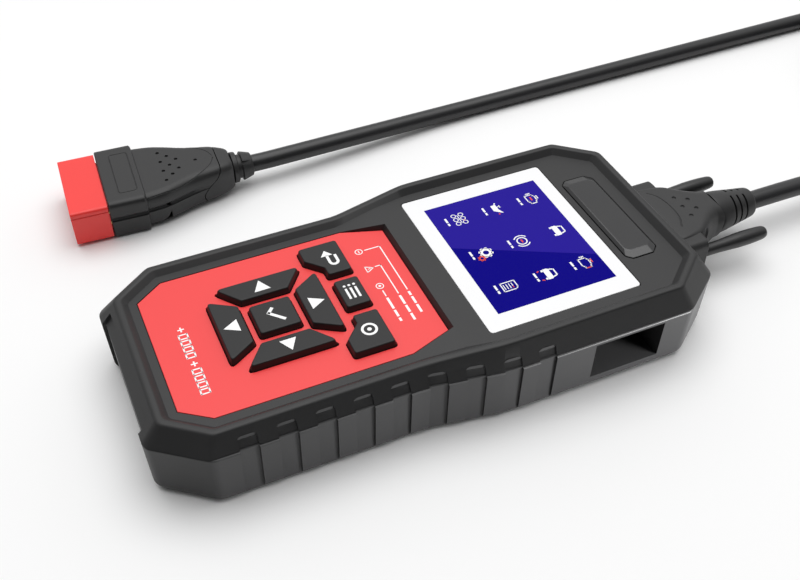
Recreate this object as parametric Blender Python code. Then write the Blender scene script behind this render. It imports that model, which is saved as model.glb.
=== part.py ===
"""OBD code reader: a handheld housing with a sprung keypad and a display, and its
test cable with a screwed 15-way plug at one end and a 16-way vehicle plug at the other.

Frame: metres, +Z up out of the display, +Y towards the cable end, +X to the user's
right. The origin is the middle of the housing's underside. Lengths below are in mm.
"""

import math

import bmesh
import bpy
from mathutils import Matrix, Vector

MM = 0.001
GAP = 0.3

# Housing, plan view: half widths beside the keypad and beside the display, half length
END_Y = 99.4
SIDE_KEYPAD = 43.3
SIDE_SCREEN = 47.5
LEDGE = 0.7
FLARE_LOW_Y = -13.0
FLARE_MID_Y = 3.0
FLARE_HIGH_Y = 14.4

# Housing heights
PARTING_Z = 22.5
RIM_KEYPAD_Z = 28.7
RIM_SCREEN_Z = 30.9
FLOOR_KEYPAD_Z = 26.8
FLOOR_SCREEN_Z = 28.6
CEILING_KEYPAD_Z = 24.4
CEILING_SCREEN_Z = 26.0
BASE_THICK = 2.0
WALL = 2.4

# Keypad
PANEL_THICK = 0.7
KEY_TOP_Z = 29.2
KEY_FLARE = 0.5
KEY_CLEAR = 0.3
PAD_CENTRE_Y = -47.4
LED_X = (-19.6, -10.1, -0.8)
LED_Y = -10.2

# Display
WINDOW_X = 35.7
WINDOW_Y = (12.8, 69.2)
BADGE_X = 23.4
BADGE_Y = (72.1, 84.7)

# Grip channels on both sides
CHANNELS = 9
CHANNEL_FIRST_Y = -67.5
CHANNEL_PITCH = 12.28
CHANNEL_WIDTH = 6.14
CHANNEL_DEPTH = 0.85
CHANNEL_TOP_Z = 26.4

# USB bay in the +X wall
BAY_Y = (45.4, 71.8)
BAY_Z = (5.4, 21.0)
BAY_BACK_X = 29.6

# 15-way connector at the +Y end
SCREW_X = 16.65
SCREW_Z = 13.2
HOOD_Z = 13.7
HOOD_FRONT_Y = 99.8
EAR_BACK_Y = 110.5
HOOD_BACK_Y = 124.6

# 16-way vehicle plug, lying on the floor beside the housing
PLUG_ORIGIN = Vector((-111.0, -97.0, 9.2))
PLUG_YAW = math.radians(3.1)
CONTACT_PITCH = 4.0
CONTACTS = 8

# Cable
CABLE_R = 3.6
COIL_CENTRE = (-66.0, 295.0)
COIL_R = 40.0
COIL_HALF = 7.2

MATERIALS = {}


# ---------------------------------------------------------------- building blocks
def clear_scene():
    for old in list(bpy.data.objects):
        bpy.data.objects.remove(old, do_unlink=True)


def material(name, color, metallic, roughness):
    made = bpy.data.materials.new(name)
    made.use_nodes = True
    shader = made.node_tree.nodes["Principled BSDF"]
    shader.inputs["Base Color"].default_value = (*color, 1.0)
    shader.inputs["Metallic"].default_value = metallic
    shader.inputs["Roughness"].default_value = roughness
    made.diffuse_color = (*color, 1.0)
    MATERIALS[name] = made


def make_materials():
    material("housing_black", (0.035, 0.036, 0.038), 0.0, 0.5)
    material("panel_red", (0.75, 0.03, 0.03), 0.0, 0.45)
    material("key_black", (0.025, 0.025, 0.027), 0.0, 0.55)
    material("window_gloss", (0.85, 0.85, 0.87), 0.0, 0.08)
    material("badge_gloss", (0.02, 0.02, 0.02), 0.0, 0.15)
    material("display_glass", (0.01, 0.01, 0.3), 0.0, 0.1)
    material("board_green", (0.02, 0.18, 0.06), 0.0, 0.5)
    material("silicone_grey", (0.3, 0.3, 0.31), 0.0, 0.7)
    material("ribbon_amber", (0.45, 0.2, 0.04), 0.0, 0.5)
    material("led_green", (0.05, 0.6, 0.1), 0.0, 0.2)
    material("led_yellow", (0.8, 0.6, 0.05), 0.0, 0.2)
    material("led_red", (0.8, 0.03, 0.02), 0.0, 0.2)
    material("steel", (0.6, 0.6, 0.6), 1.0, 0.35)
    material("tin", (0.66, 0.66, 0.63), 1.0, 0.3)
    material("brass", (0.75, 0.56, 0.25), 1.0, 0.3)
    material("plug_red", (0.85, 0.03, 0.03), 0.0, 0.35)
    material("hood_black", (0.03, 0.03, 0.032), 0.0, 0.5)
    material("screw_black", (0.03, 0.03, 0.03), 0.0, 0.35)
    material("cable_black", (0.025, 0.025, 0.027), 0.0, 0.4)


def solid(name, points, faces):
    """One mesh object from points in mm and faces, with its normals facing out."""
    mesh = bpy.data.meshes.new(name)
    mesh.from_pydata([Vector(p) * MM for p in points], [], faces)
    work = bmesh.new()
    work.from_mesh(mesh)
    bmesh.ops.recalc_face_normals(work, faces=work.faces)
    work.to_mesh(mesh)
    work.free()
    made = bpy.data.objects.new(name, mesh)
    bpy.context.scene.collection.objects.link(made)
    return made


def loft(name, rings):
    """A closed body through rings of equal length, with a flat cap at each end."""
    count = len(rings[0])
    points = [p for ring in rings for p in ring]
    faces = []
    for level in range(len(rings) - 1):
        low = level * count
        high = low + count
        for i in range(count):
            j = (i + 1) % count
            faces.append((low + i, low + j, high + j, high + i))
    faces.append(tuple(range(count))[::-1])
    last = (len(rings) - 1) * count
    faces.append(tuple(range(last, last + count)))
    return solid(name, points, faces)


def ladder(name, rings):
    """A loft through rings that mirror in X, capped by a ladder of flat strips."""
    count = len(rings[0])
    points = [p for ring in rings for p in ring]
    faces = []
    for level in range(len(rings) - 1):
        low = level * count
        high = low + count
        for i in range(count):
            j = (i + 1) % count
            faces.append((low + i, low + j, high + j, high + i))
    for start in (0, (len(rings) - 1) * count):
        for i in range(count // 2 - 1):
            right = (start + i, start + i + 1)
            left = (start + count - 2 - i, start + count - 1 - i)
            faces.append((right[0], right[1], left[0], left[1]))
    return solid(name, points, faces)


def prism(name, outline, low, high):
    """An outline in X and Y, extruded from low to high in Z."""
    return loft(name, [[(x, y, low) for x, y in outline], [(x, y, high) for x, y in outline]])


def box(name, x, y, z):
    return prism(name, [(x[0], y[0]), (x[1], y[0]), (x[1], y[1]), (x[0], y[1])], z[0], z[1])


def turned(name, profile, base, axis, steps=20):
    """A body turned about an axis through base. The profile is (height, radius) pairs."""
    turn = Vector((0, 0, 1)).rotation_difference(Vector(axis)).to_matrix()
    rings = []
    for height, radius in profile:
        ring = []
        for i in range(steps):
            angle = 2 * math.pi * (i + 0.5) / steps
            spot = Vector((radius * math.cos(angle), radius * math.sin(angle), height))
            ring.append(tuple(turn @ spot + Vector(base)))
        rings.append(ring)
    return loft(name, rings)


def combine(target, cutters, operation):
    """Applies one exact Boolean per cutter to the target, then removes the cutters."""
    for cutter in cutters:
        step = target.modifiers.new(operation, "BOOLEAN")
        step.operation = operation
        step.solver = "EXACT"
        step.object = cutter
    graph = bpy.context.evaluated_depsgraph_get()
    result = bpy.data.meshes.new_from_object(target.evaluated_get(graph))
    target.modifiers.clear()
    target.data = result
    for cutter in cutters:
        bpy.data.objects.remove(cutter, do_unlink=True)
    return target


def cut(target, *cutters):
    return combine(target, cutters, "DIFFERENCE")


def join(target, *others):
    return combine(target, others, "UNION")


def keep(target, *others):
    return combine(target, others, "INTERSECT")


def copy_of(source, name):
    made = source.copy()
    made.data = source.data.copy()
    made.name = name
    bpy.context.scene.collection.objects.link(made)
    return made


def finish(target, name, material_name, smooth=False):
    target.name = name
    target.data.name = name
    target.data.materials.clear()
    target.data.materials.append(MATERIALS[material_name])
    if target.type == "MESH":
        target.data.polygons.foreach_set("use_smooth", [smooth] * len(target.data.polygons))
        if smooth:
            target.data.set_sharp_from_angle(angle=math.radians(35))
    return target


def move_origin(target, spot):
    """Puts the origin of a moving piece on its joint without moving the piece."""
    offset = Vector(spot) * MM
    target.data.transform(Matrix.Translation(-offset))
    target.location = offset
    return target


# ---------------------------------------------------------------- plan outlines
def inset(outline, distance):
    """Moves every edge of a counter-clockwise outline inwards and joins them again."""
    edges = []
    for i, start in enumerate(outline):
        end = outline[(i + 1) % len(outline)]
        along = Vector((end[0] - start[0], end[1] - start[1])).normalized()
        shift = Vector((-along.y, along.x)) * distance
        edges.append((Vector(start) + shift, along))
    moved = []
    for i, (spot, along) in enumerate(edges):
        before, direction = edges[i - 1]
        cross = direction.x * along.y - direction.y * along.x
        if abs(cross) < 1e-4:
            moved.append(tuple(spot))
            continue
        gap = spot - before
        reach = (gap.x * along.y - gap.y * along.x) / cross
        moved.append(tuple(before + direction * reach))
    return moved


def rounded(outline, radius, steps=2):
    """Replaces each corner of an outline by an arc; a straight corner stays one point."""
    made = []
    for i, corner in enumerate(outline):
        spot = Vector(corner)
        back = Vector(outline[i - 1]) - spot
        ahead = Vector(outline[(i + 1) % len(outline)]) - spot
        half = back.angle(ahead) / 2
        if half > math.radians(89):
            made.append(tuple(spot))
            continue
        reach = min(radius / math.tan(half), back.length * 0.45, ahead.length * 0.45)
        first = spot + back.normalized() * reach
        last = spot + ahead.normalized() * reach
        for k in range(steps + 1):
            t = k / steps
            curve = first * (1 - t) ** 2 + spot * (2 * t * (1 - t)) + last * t ** 2
            made.append(tuple(curve))
    return made


def mirrored(right_side):
    """A whole outline from its +X half, listed from -Y to +Y."""
    return list(right_side) + [(-x, y) for x, y in reversed(right_side)]


def housing_outline(side_keypad, side_screen):
    """The parting outline, with the side walls pushed out to the given half widths."""
    slope_low = (82.8 - 99.4) / (43.3 - 30.7)
    slope_high = (99.4 - 83.2) / (47.5 - 35.4)
    low_y = -END_Y - slope_low * (side_keypad - 30.7)
    high_y = END_Y - slope_high * (side_screen - 35.4)
    share = (FLARE_MID_Y - FLARE_LOW_Y) / (FLARE_HIGH_Y - FLARE_LOW_Y)
    middle_x = side_keypad + (side_screen - side_keypad) * share
    return mirrored([
        (30.7, -END_Y),
        (side_keypad, low_y),
        (side_keypad, FLARE_LOW_Y),
        (middle_x, FLARE_MID_Y),
        (side_screen, FLARE_HIGH_Y),
        (side_screen, high_y),
        (35.4, END_Y),
    ])


def rim_outline():
    """The inner edge of the raised rim round the top."""
    return mirrored([
        (27.6, -91.8),
        (37.4, -79.0),
        (37.4, -11.6),
        (39.7, FLARE_MID_Y),
        (41.8, 16.2),
        (41.8, 79.1),
        (31.0, 91.8),
    ])


def raised(outline, height, radius=4.0, steps=2):
    """The outline with rounded corners, each point at height(y)."""
    return [(x, y, height(y)) for x, y in rounded(outline, radius, steps)]


def ramp(low_y, high_y, low_z, high_z):
    def height(y):
        share = min(max((y - low_y) / (high_y - low_y), 0.0), 1.0)
        return low_z + (high_z - low_z) * share
    return height


def level(z):
    return lambda y: z


def side_x(y):
    """Half width of the housing at the parting plane."""
    return ramp(FLARE_LOW_Y, FLARE_HIGH_Y, SIDE_KEYPAD, SIDE_SCREEN)(y)


def band_run(y):
    """How far the sloped band leans in between the parting plane and the rim."""
    return ramp(FLARE_LOW_Y, FLARE_HIGH_Y, SIDE_KEYPAD - 39.5, SIDE_SCREEN - 43.8)(y)


def rim_z(y):
    return ramp(-11.6, 16.2, RIM_KEYPAD_Z, RIM_SCREEN_Z)(y)


def floor_z(y):
    return ramp(-12.6, FLARE_MID_Y, FLOOR_KEYPAD_Z, FLOOR_SCREEN_Z)(y)


def ceiling_z(y):
    return ramp(FLARE_MID_Y, 15.0, CEILING_KEYPAD_Z, CEILING_SCREEN_Z)(y)


# ---------------------------------------------------------------- keypad shapes
def panel_outline():
    return mirrored([(25.1, -86.8), (31.9, -77.4), (31.9, -12.6), (27.0, 1.9)])


def key_outlines():
    """Top-face outlines of the eight keys, counter-clockwise."""
    y = PAD_CENTRE_Y
    side = [(10.4, y - 8.1), (18.65, y - 14.5), (18.65, y + 14.5), (10.4, y + 8.1)]
    upper = [(-8.5, y + 10.0), (8.5, y + 10.0), (13.9, y + 18.8), (-13.9, y + 18.8)]
    corner = [
        (10.7, -24.6), (14.45, -24.6), (20.15, -30.0),
        (26.45, -30.0), (26.45, -16.3), (10.7, -16.3),
    ]
    return {
        "key_ok": [(-6.5, y - 6.8), (6.5, y - 6.8), (6.5, y + 6.8), (-6.5, y + 6.8)],
        "key_right": side,
        "key_left": [(-px, py) for px, py in reversed(side)],
        "key_up": upper,
        "key_down": [(px, 2 * y - py) for px, py in reversed(upper)],
        "key_readiness": [(-6.5, -24.6), (6.5, -24.6), (6.5, -16.3), (-6.5, -16.3)],
        "key_help": corner,
        "key_back": [(-px, py) for px, py in reversed(corner)],
    }


def hole_outline(outline):
    """The opening in the panel and the housing that a key moves in."""
    return rounded(inset(outline, -KEY_FLARE - KEY_CLEAR), 0.6, 1)


# ---------------------------------------------------------------- housing
def channel_cutters():
    """One cutter per grip channel, following the band's slope and the wall's flare."""
    made = []
    for side in (1, -1):
        for k in range(CHANNELS):
            high = CHANNEL_FIRST_Y + CHANNEL_PITCH * k
            rings = []
            for y in (high - CHANNEL_WIDTH, high):
                wall = side_x(y)
                lean = band_run(y) / (rim_z(y) - PARTING_Z)
                end_x = wall - lean * (CHANNEL_TOP_Z - PARTING_Z) - CHANNEL_DEPTH * 0.9
                profile = [
                    (wall + LEDGE - CHANNEL_DEPTH - 0.7, -1.0),
                    (wall + LEDGE - CHANNEL_DEPTH, PARTING_Z - 0.2),
                    (wall - CHANNEL_DEPTH * 0.9, PARTING_Z),
                    (end_x + 0.3, CHANNEL_TOP_Z - 0.6),
                    (end_x + 2.2, CHANNEL_TOP_Z + 0.6),
                    (wall + 3.0, CHANNEL_TOP_Z + 0.6),
                    (wall + 3.0, -1.0),
                ]
                rings.append([(side * px, y, pz) for px, pz in profile])
            made.append(loft("channel", rings))
    return made


def end_recess_cutter():
    """The shallow recess across the -Y end."""
    depth = 1.3
    lean = 5.6 / (RIM_KEYPAD_Z - PARTING_Z)
    top = 25.8
    rings = []
    for x in (-25.0, 25.0):
        profile = [
            (-END_Y + depth + 0.5, -1.0),
            (-END_Y + depth, PARTING_Z),
            (-END_Y + lean * (top - PARTING_Z) + depth, top),
            (-END_Y - 3.0, top + 0.9),
            (-END_Y - 3.0, -1.0),
        ]
        rings.append([(x, y, z) for y, z in profile])
    return loft("end_recess", rings)


def case_screw_spots():
    return [(36.4, -75.0), (-36.4, -75.0), (38.6, 79.0), (-38.6, 79.0)]


def build_upper_shell():
    parting = housing_outline(SIDE_KEYPAD, SIDE_SCREEN)
    inner = rim_outline()
    shell = ladder("upper_shell", [
        raised(parting, level(PARTING_Z)),
        raised(inset(inner, -2.0), rim_z, 3.0),
        raised(inner, rim_z, 2.5),
        raised(inset(inner, 2.1), floor_z, 2.0),
    ])
    hollow = ladder("hollow", [
        raised(inset(parting, 2.2), level(PARTING_Z - 1.5)),
        raised(inset(parting, 4.2), ceiling_z),
    ])
    shell = cut(shell, hollow)
    posts = [turned("post", [(17.5, 3.2), (ceiling_z(y) + 0.6, 3.2)], (x, y, 0), (0, 0, 1), 14)
             for x, y in case_screw_spots()]
    shell = join(shell, *posts)
    panel = panel_outline()
    pocket_z = FLOOR_KEYPAD_Z - PANEL_THICK - GAP
    pocket = ladder("pocket", [
        [(x, y, pocket_z) for x, y in inset(panel, -GAP)],
        [(x, y, FLOOR_KEYPAD_Z) for x, y in inset(panel, -GAP)],
        [(x, y, FLOOR_KEYPAD_Z + 3.0) for x, y in inset(panel, -GAP - 1.8)],
    ])
    window = [(WINDOW_X, WINDOW_Y[0]), (WINDOW_X, WINDOW_Y[1])]
    window = rounded(inset(mirrored(window), -GAP), 1.6)
    cutters = [
        pocket,
        prism("window", window, FLOOR_SCREEN_Z - 1.5, 40.0),
        box("view", (-30.6, 30.6), (17.2, 65.6), (20.0, 29.0)),
        prism("badge", rounded(inset(badge_outline(), -GAP), 1.5), FLOOR_SCREEN_Z - 0.7, 40.0),
    ]
    for outline in key_outlines().values():
        cutters.append(prism("key_hole", hole_outline(outline), 20.0, 30.0))
    for x in LED_X:
        cutters.append(turned("led_hole", [(20.0, 1.7), (30.0, 1.7)], (x, LED_Y, 0), (0, 0, 1), 12))
    for x, y in case_screw_spots():
        cutters.append(turned("screw_hole", [(16.0, 1.6), (23.5, 1.6)], (x, y, 0), (0, 0, 1), 12))
    cutters += channel_cutters()
    cutters.append(end_recess_cutter())
    shell = cut(shell, *cutters)
    return finish(shell, "upper_shell", "housing_black")


def build_lower_shell():
    wall = housing_outline(SIDE_KEYPAD + LEDGE, SIDE_SCREEN + LEDGE)
    shell = ladder("lower_shell", [
        raised(inset(wall, 3.4), level(0.0), 3.0),
        raised(inset(wall, 1.7), level(0.8), 3.5),
        raised(inset(wall, 0.8), level(2.8)),
        raised(wall, level(PARTING_Z - 1.0)),
        raised(inset(wall, 0.4), level(PARTING_Z - GAP)),
    ])
    hollow = ladder("hollow", [
        raised(inset(wall, WALL + 0.9), level(BASE_THICK)),
        raised(inset(wall, WALL + 0.1), level(PARTING_Z + 1.0)),
    ])
    shell = cut(shell, hollow)
    block = box("block", (BAY_BACK_X - 2.0, 46.6), (BAY_Y[0] - 1.6, BAY_Y[1] + 1.6), (1.5, 21.9))
    posts = [turned("post", [(1.0, 4.4), (17.1, 3.4)], (x, y, 0), (0, 0, 1), 14)
             for x, y in case_screw_spots()]
    shell = join(shell, block, *posts)
    cutters = [
        box("bay", (BAY_BACK_X, 52.0), BAY_Y, BAY_Z),
        box("plug_way", (-13.8, 13.8), (94.0, 102.0), (SCREW_Z - 5.8, SCREW_Z + 5.8)),
    ]
    for x in (-SCREW_X, SCREW_X):
        cutters.append(turned("nut_way", [(0.0, 3.3), (8.0, 3.3)], (x, 94.5, SCREW_Z), (0, 1, 0), 14))
    for x, y in case_screw_spots():
        cutters.append(turned("shank_way", [(-1.0, 1.65), (20.0, 1.65)], (x, y, 0), (0, 0, 1), 12))
        cutters.append(turned("head_way", [(-1.0, 3.1), (3.2, 3.1)], (x, y, 0), (0, 0, 1), 14))
    cutters += channel_cutters()
    cutters.append(end_recess_cutter())
    shell = cut(shell, *cutters)
    return finish(shell, "lower_shell", "housing_black")


def badge_outline():
    low, high = BADGE_Y
    return mirrored([
        (BADGE_X - 2.0, low), (BADGE_X, low + 2.0),
        (BADGE_X, high - 2.5), (BADGE_X - 2.5, high),
    ])


def build_face_pieces():
    panel = prism("keypad_overlay", panel_outline(), FLOOR_KEYPAD_Z - PANEL_THICK, FLOOR_KEYPAD_Z)
    holes = [prism("key_hole", hole_outline(o), 20.0, 30.0)
             for o in key_outlines().values()]
    finish(cut(panel, *holes), "keypad_overlay", "panel_red")
    corners = mirrored([(WINDOW_X, WINDOW_Y[0]), (WINDOW_X, WINDOW_Y[1])])
    window = prism("display_window", rounded(corners, 1.5), FLOOR_SCREEN_Z - 1.2, FLOOR_SCREEN_Z + 0.05)
    finish(window, "display_window", "window_gloss")
    outline = rounded(badge_outline(), 1.2)
    top = rounded(inset(badge_outline(), 1.0), 1.2)
    badge = loft("badge_plate", [
        [(x, y, FLOOR_SCREEN_Z - 0.4) for x, y in outline],
        [(x, y, FLOOR_SCREEN_Z + 0.1) for x, y in outline],
        [(x * 0.93, y, FLOOR_SCREEN_Z + 1.0) for x, y in top],
    ])
    finish(badge, "badge_plate", "badge_gloss")


def build_keys():
    """Each key is a drafted cap on a stem with a retaining flange below the housing."""
    for name, outline in key_outlines().items():
        middle_x = sum(x for x, y in outline) / len(outline)
        middle_y = sum(y for x, y in outline) / len(outline)
        base = rounded(inset(outline, -KEY_FLARE), 1.4)
        shoulder = rounded(outline, 1.0)
        crown = rounded(inset(outline, 0.35), 0.8)
        cap = loft(name, [
            [(x, y, CEILING_KEYPAD_Z - GAP - 0.6) for x, y in base],
            [(x, y, FLOOR_KEYPAD_Z + 0.2) for x, y in base],
            [(x, y, KEY_TOP_Z - 0.35) for x, y in shoulder],
            [(x, y, KEY_TOP_Z) for x, y in crown],
        ])
        rest = rounded(inset(outline, -KEY_FLARE - KEY_CLEAR - 0.35), 3.0)
        flange = prism("flange", rest, 23.0, CEILING_KEYPAD_Z - GAP)
        cap = join(cap, flange)
        finish(cap, name, "key_black")
        move_origin(cap, (middle_x, middle_y, KEY_TOP_Z))


def build_inside():
    board = [
        (-32.0, -84.0), (32.0, -84.0), (32.0, 41.5), (26.2, 41.5),
        (26.2, 75.5), (32.0, 75.5), (32.0, 87.0), (-32.0, 87.0),
    ]
    finish(prism("main_board", board, 18.6, 20.2), "main_board", "board_green")
    sheet = box("key_contact_sheet", (-30.0, 30.0), (-70.0, -13.2), (20.6, 22.0))
    finish(sheet, "key_contact_sheet", "silicone_grey")
    lcd = box("lcd_module", (-33.6, 33.6), (16.4, 68.0), (22.3, 25.5))
    finish(lcd, "lcd_module", "display_glass")
    path = [(16.0, 24.0), (12.0, 24.0), (9.6, 23.2), (8.6, 21.8), (6.6, 20.9), (1.0, 20.6)]
    upper = [(y, z) for y, z in path]
    lower = [(y + 0.1, z + 0.5) for y, z in reversed(path)]
    ring = upper + lower
    ribbon = loft("lcd_ribbon", [[(-12.0, y, z) for y, z in ring], [(12.0, y, z) for y, z in ring]])
    finish(ribbon, "lcd_ribbon", "ribbon_amber")
    buzzer = turned("buzzer", [(12.3, 5.5), (12.8, 6.0), (18.2, 6.0)], (-18.0, 30.0, 0), (0, 0, 1), 18)
    finish(buzzer, "buzzer", "key_black")
    for x, name, look in zip(LED_X, ("green", "yellow", "red"), ("led_green", "led_yellow", "led_red")):
        led = turned("led", [(20.5, 1.35), (24.8, 1.35), (25.4, 0.9)], (x, LED_Y, 0), (0, 0, 1), 10)
        finish(led, "status_led_" + name, look)
    for number, (x, y) in enumerate(case_screw_spots(), start=1):
        profile = [(0.7, 2.3), (1.1, 2.7), (2.8, 2.7), (2.85, 1.3), (22.0, 1.3), (22.8, 0.8)]
        screw = turned("screw", profile, (x, y, 0), (0, 0, 1), 12)
        finish(screw, "housing_screw_" + str(number), "steel")


def build_usb_socket():
    """A square printer-type socket on the back wall of the bay."""
    x = BAY_BACK_X + GAP
    outer = [(-6.0, 7.4), (6.0, 7.4), (6.0, 14.6), (3.6, 17.6), (-3.6, 17.6), (-6.0, 14.6)]
    middle = sum(BAY_Y) / 2
    low = [(x, middle + dy, z) for dy, z in outer]
    high = [(x + 4.2, middle + dy, z) for dy, z in outer]
    body = loft("usb_socket", [low, high])
    ring = [(-5.0, 8.4), (5.0, 8.4), (5.0, 14.2), (3.2, 16.6), (-3.2, 16.6), (-5.0, 14.2)]
    well = loft("well", [
        [(x + 0.8, middle + dy, z) for dy, z in ring],
        [(x + 6.0, middle + dy, z) for dy, z in ring],
    ])
    tongue = box("tongue", (x + 0.4, x + 3.6), (middle - 2.6, middle + 2.6), (10.9, 13.9))
    finish(join(cut(body, well), tongue), "usb_socket", "tin")


# ---------------------------------------------------------------- 15-way connector
def d_outline(half_width, half_height):
    """The D shape of the connector, wider above than below."""
    return [
        (-half_width + 0.9, -half_height), (half_width - 0.9, -half_height),
        (half_width, half_height), (-half_width, half_height),
    ]


def upright(outline, y, centre_z):
    return [(x, y, centre_z + z) for x, z in outline]


def build_db15_socket():
    y = 94.2
    plate = box("db15_socket", (-19.4, 19.4), (y, y + 1.5), (SCREW_Z - 6.0, SCREW_Z + 6.0))
    block = loft("block", [
        upright(d_outline(11.8, 3.6), y + 1.0, SCREW_Z),
        upright(d_outline(11.8, 3.6), 99.1, SCREW_Z),
    ])
    back = box("back", (-12.4, 12.4), (86.6, y + 0.5), (SCREW_Z - 4.2, SCREW_Z + 4.2))
    nuts = [turned("nut", [(0.6, 2.7), (4.9, 2.7)], (x, y, SCREW_Z), (0, 1, 0), 6)
            for x in (-SCREW_X, SCREW_X)]
    body = join(plate, block, back, *nuts)
    wells = [turned("thread", [(-2.0, 1.75), (6.0, 1.75)], (x, y, SCREW_Z), (0, 1, 0), 12)
             for x in (-SCREW_X, SCREW_X)]
    finish(cut(body, *wells), "db15_socket", "tin")


def build_db15_plug_shell():
    low, high = HOOD_FRONT_Y + 0.4, HOOD_FRONT_Y + 1.4
    plate = box("db15_plug_shell", (-19.0, 19.0), (low, high), (SCREW_Z - 5.8, SCREW_Z + 5.8))
    sleeve = loft("sleeve", [
        upright(d_outline(12.9, 4.7), 97.0, SCREW_Z),
        upright(d_outline(12.9, 4.7), high - 0.3, SCREW_Z),
    ])
    bore = loft("bore", [
        upright(d_outline(12.2, 4.0), 96.0, SCREW_Z),
        upright(d_outline(12.2, 4.0), high + 1.0, SCREW_Z),
    ])
    holes = [turned("hole", [(0.0, 2.7), (8.0, 2.7)], (x, 97.5, SCREW_Z), (0, 1, 0), 12)
             for x in (-SCREW_X, SCREW_X)]
    finish(cut(join(plate, sleeve), bore, *holes), "db15_plug_shell", "steel")


def soft_rect(half_width, low, high, radius, steps=3):
    corners = [(-half_width, low), (half_width, low), (half_width, high), (-half_width, high)]
    return rounded(corners, radius, steps)


def build_db15_hood():
    sections = [
        (HOOD_FRONT_Y + 0.1, 15.8, 5.6, 21.2, 1.5),
        (104.0, 15.6, 5.6, 21.6, 2.5),
        (111.4, 15.4, 5.6, 21.7, 3.5),
        (114.5, 13.6, 5.6, 21.8, 4.5),
        (118.5, 10.8, 5.6, 21.8, 5.5),
        (122.0, 9.1, 5.7, 21.8, 6.5),
        (HOOD_BACK_Y, 8.3, 5.8, 21.8, 7.0),
    ]
    hood = loft("db15_hood", [
        [(x, y, z) for x, z in soft_rect(half, low, high, radius)]
        for y, half, low, high, radius in sections
    ])
    ears = loft("ears", [
        [(x, HOOD_FRONT_Y, z) for x, z in soft_rect(20.5, 5.6, 21.0, 1.6, 2)],
        [(x, EAR_BACK_Y - 0.6, z) for x, z in soft_rect(20.5, 5.6, 21.0, 1.6, 2)],
        [(x, EAR_BACK_Y, z) for x, z in soft_rect(20.0, 6.1, 20.5, 1.6, 2)],
    ])
    hood = join(hood, ears)
    cutters = [
        box("front", (-19.4, 19.4), (90.0, HOOD_FRONT_Y + 1.75), (SCREW_Z - 6.2, SCREW_Z + 6.2)),
        box("inside", (-12.6, 12.6), (98.0, 112.0), (SCREW_Z - 5.0, SCREW_Z + 5.0)),
        turned("bore", [(0.0, 4.6), (30.0, 4.6)], (0, 108.0, HOOD_Z), (0, 1, 0), 16),
    ]
    for x in (-SCREW_X, SCREW_X):
        cutters.append(turned("way", [(0.0, 2.7), (35.0, 2.7)], (x, 95.0, SCREW_Z), (0, 1, 0), 14))
    for x, y in ((-5.6, 112.0), (0.0, 112.0), (5.6, 112.0), (-2.8, 116.2), (2.8, 116.2)):
        cutters.append(turned("dimple", [(0.0, 0.8), (2.0, 0.8)], (x, y, 21.3), (0, 0, 1), 8))
    finish(cut(hood, *cutters), "db15_hood", "hood_black")


def build_db15_strain_relief():
    profile = [(0.0, 8.2), (4.0, 7.9), (8.0, 7.3), (12.0, 6.6), (16.0, 6.0), (18.2, 5.6), (18.7, 5.1)]
    sleeve = turned("db15_strain_relief", profile, (0, HOOD_BACK_Y + 0.35, HOOD_Z), (0, 1, 0), 20)
    cutters = [turned("bore", [(-1.0, 4.0), (30.0, 4.0)], (0, HOOD_BACK_Y, HOOD_Z), (0, 1, 0), 16)]
    for y in (132.9, 135.8, 138.8):
        for side in (1, -1):
            cutters.append(box("slot", (side * 1.3, side * 12.0), (y - 0.4, y + 0.4),
                               (HOOD_Z - 3.0, HOOD_Z + 12.0)))
    body = cut(sleeve, *cutters)
    core = turned("core", [(1.0, 5.3), (15.0, 5.0)], (0, HOOD_BACK_Y, HOOD_Z), (0, 1, 0), 20)
    core = cut(core, turned("bore", [(-1.0, 4.0), (30.0, 4.0)], (0, HOOD_BACK_Y, HOOD_Z), (0, 1, 0), 16))
    finish(join(body, core), "db15_strain_relief", "hood_black", True)


def build_thumbscrews():
    profile = [
        (0.0, 0.9), (0.4, 1.3), (3.4, 1.3), (3.8, 2.25), (16.0, 2.25), (22.0, 2.35), (28.0, 2.6),
        (31.0, 2.85), (35.6, 2.85), (39.4, 2.65), (42.0, 2.45), (43.0, 2.0), (43.4, 1.2),
    ]
    for name, x in (("thumbscrew_near", SCREW_X), ("thumbscrew_far", -SCREW_X)):
        screw = turned(name, profile, (x, 95.8, SCREW_Z), (0, 1, 0), 16)
        finish(screw, name, "screw_black", True)
        move_origin(screw, (x, 95.8, SCREW_Z))


# ---------------------------------------------------------------- vehicle plug
def plug_place(target):
    """Moves a piece built along +Y from the plug's own front face to where the plug lies."""
    turn = Matrix.Rotation(-PLUG_YAW, 4, "Z")
    target.data.transform(Matrix.Translation(PLUG_ORIGIN * MM) @ turn)
    return target


def plug_section(s, top, bottom, half_height, radius):
    """A rounded section, wider above than below."""
    corners = [(-bottom, -half_height), (bottom, -half_height), (top, half_height), (-top, half_height)]
    return [(x, s, z) for x, z in rounded(corners, radius, 3)]


def plug_body():
    sections = [
        (14.6, 19.2, 16.6, 9.1, 2.6), (29.0, 19.2, 16.6, 9.1, 2.6),
        (29.3, 18.1, 15.6, 8.0, 3.4), (36.0, 17.3, 14.9, 8.0, 3.6), (42.0, 15.0, 13.0, 8.0, 3.8),
        (48.0, 12.2, 10.8, 7.9, 4.0), (54.0, 10.8, 9.6, 7.8, 4.0), (59.0, 9.7, 8.7, 7.6, 4.0),
        (63.5, 7.8, 7.2, 7.0, 4.0), (65.8, 6.6, 6.2, 6.2, 3.8),
    ]
    return loft("plug_body", [plug_section(*section) for section in sections])


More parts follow.
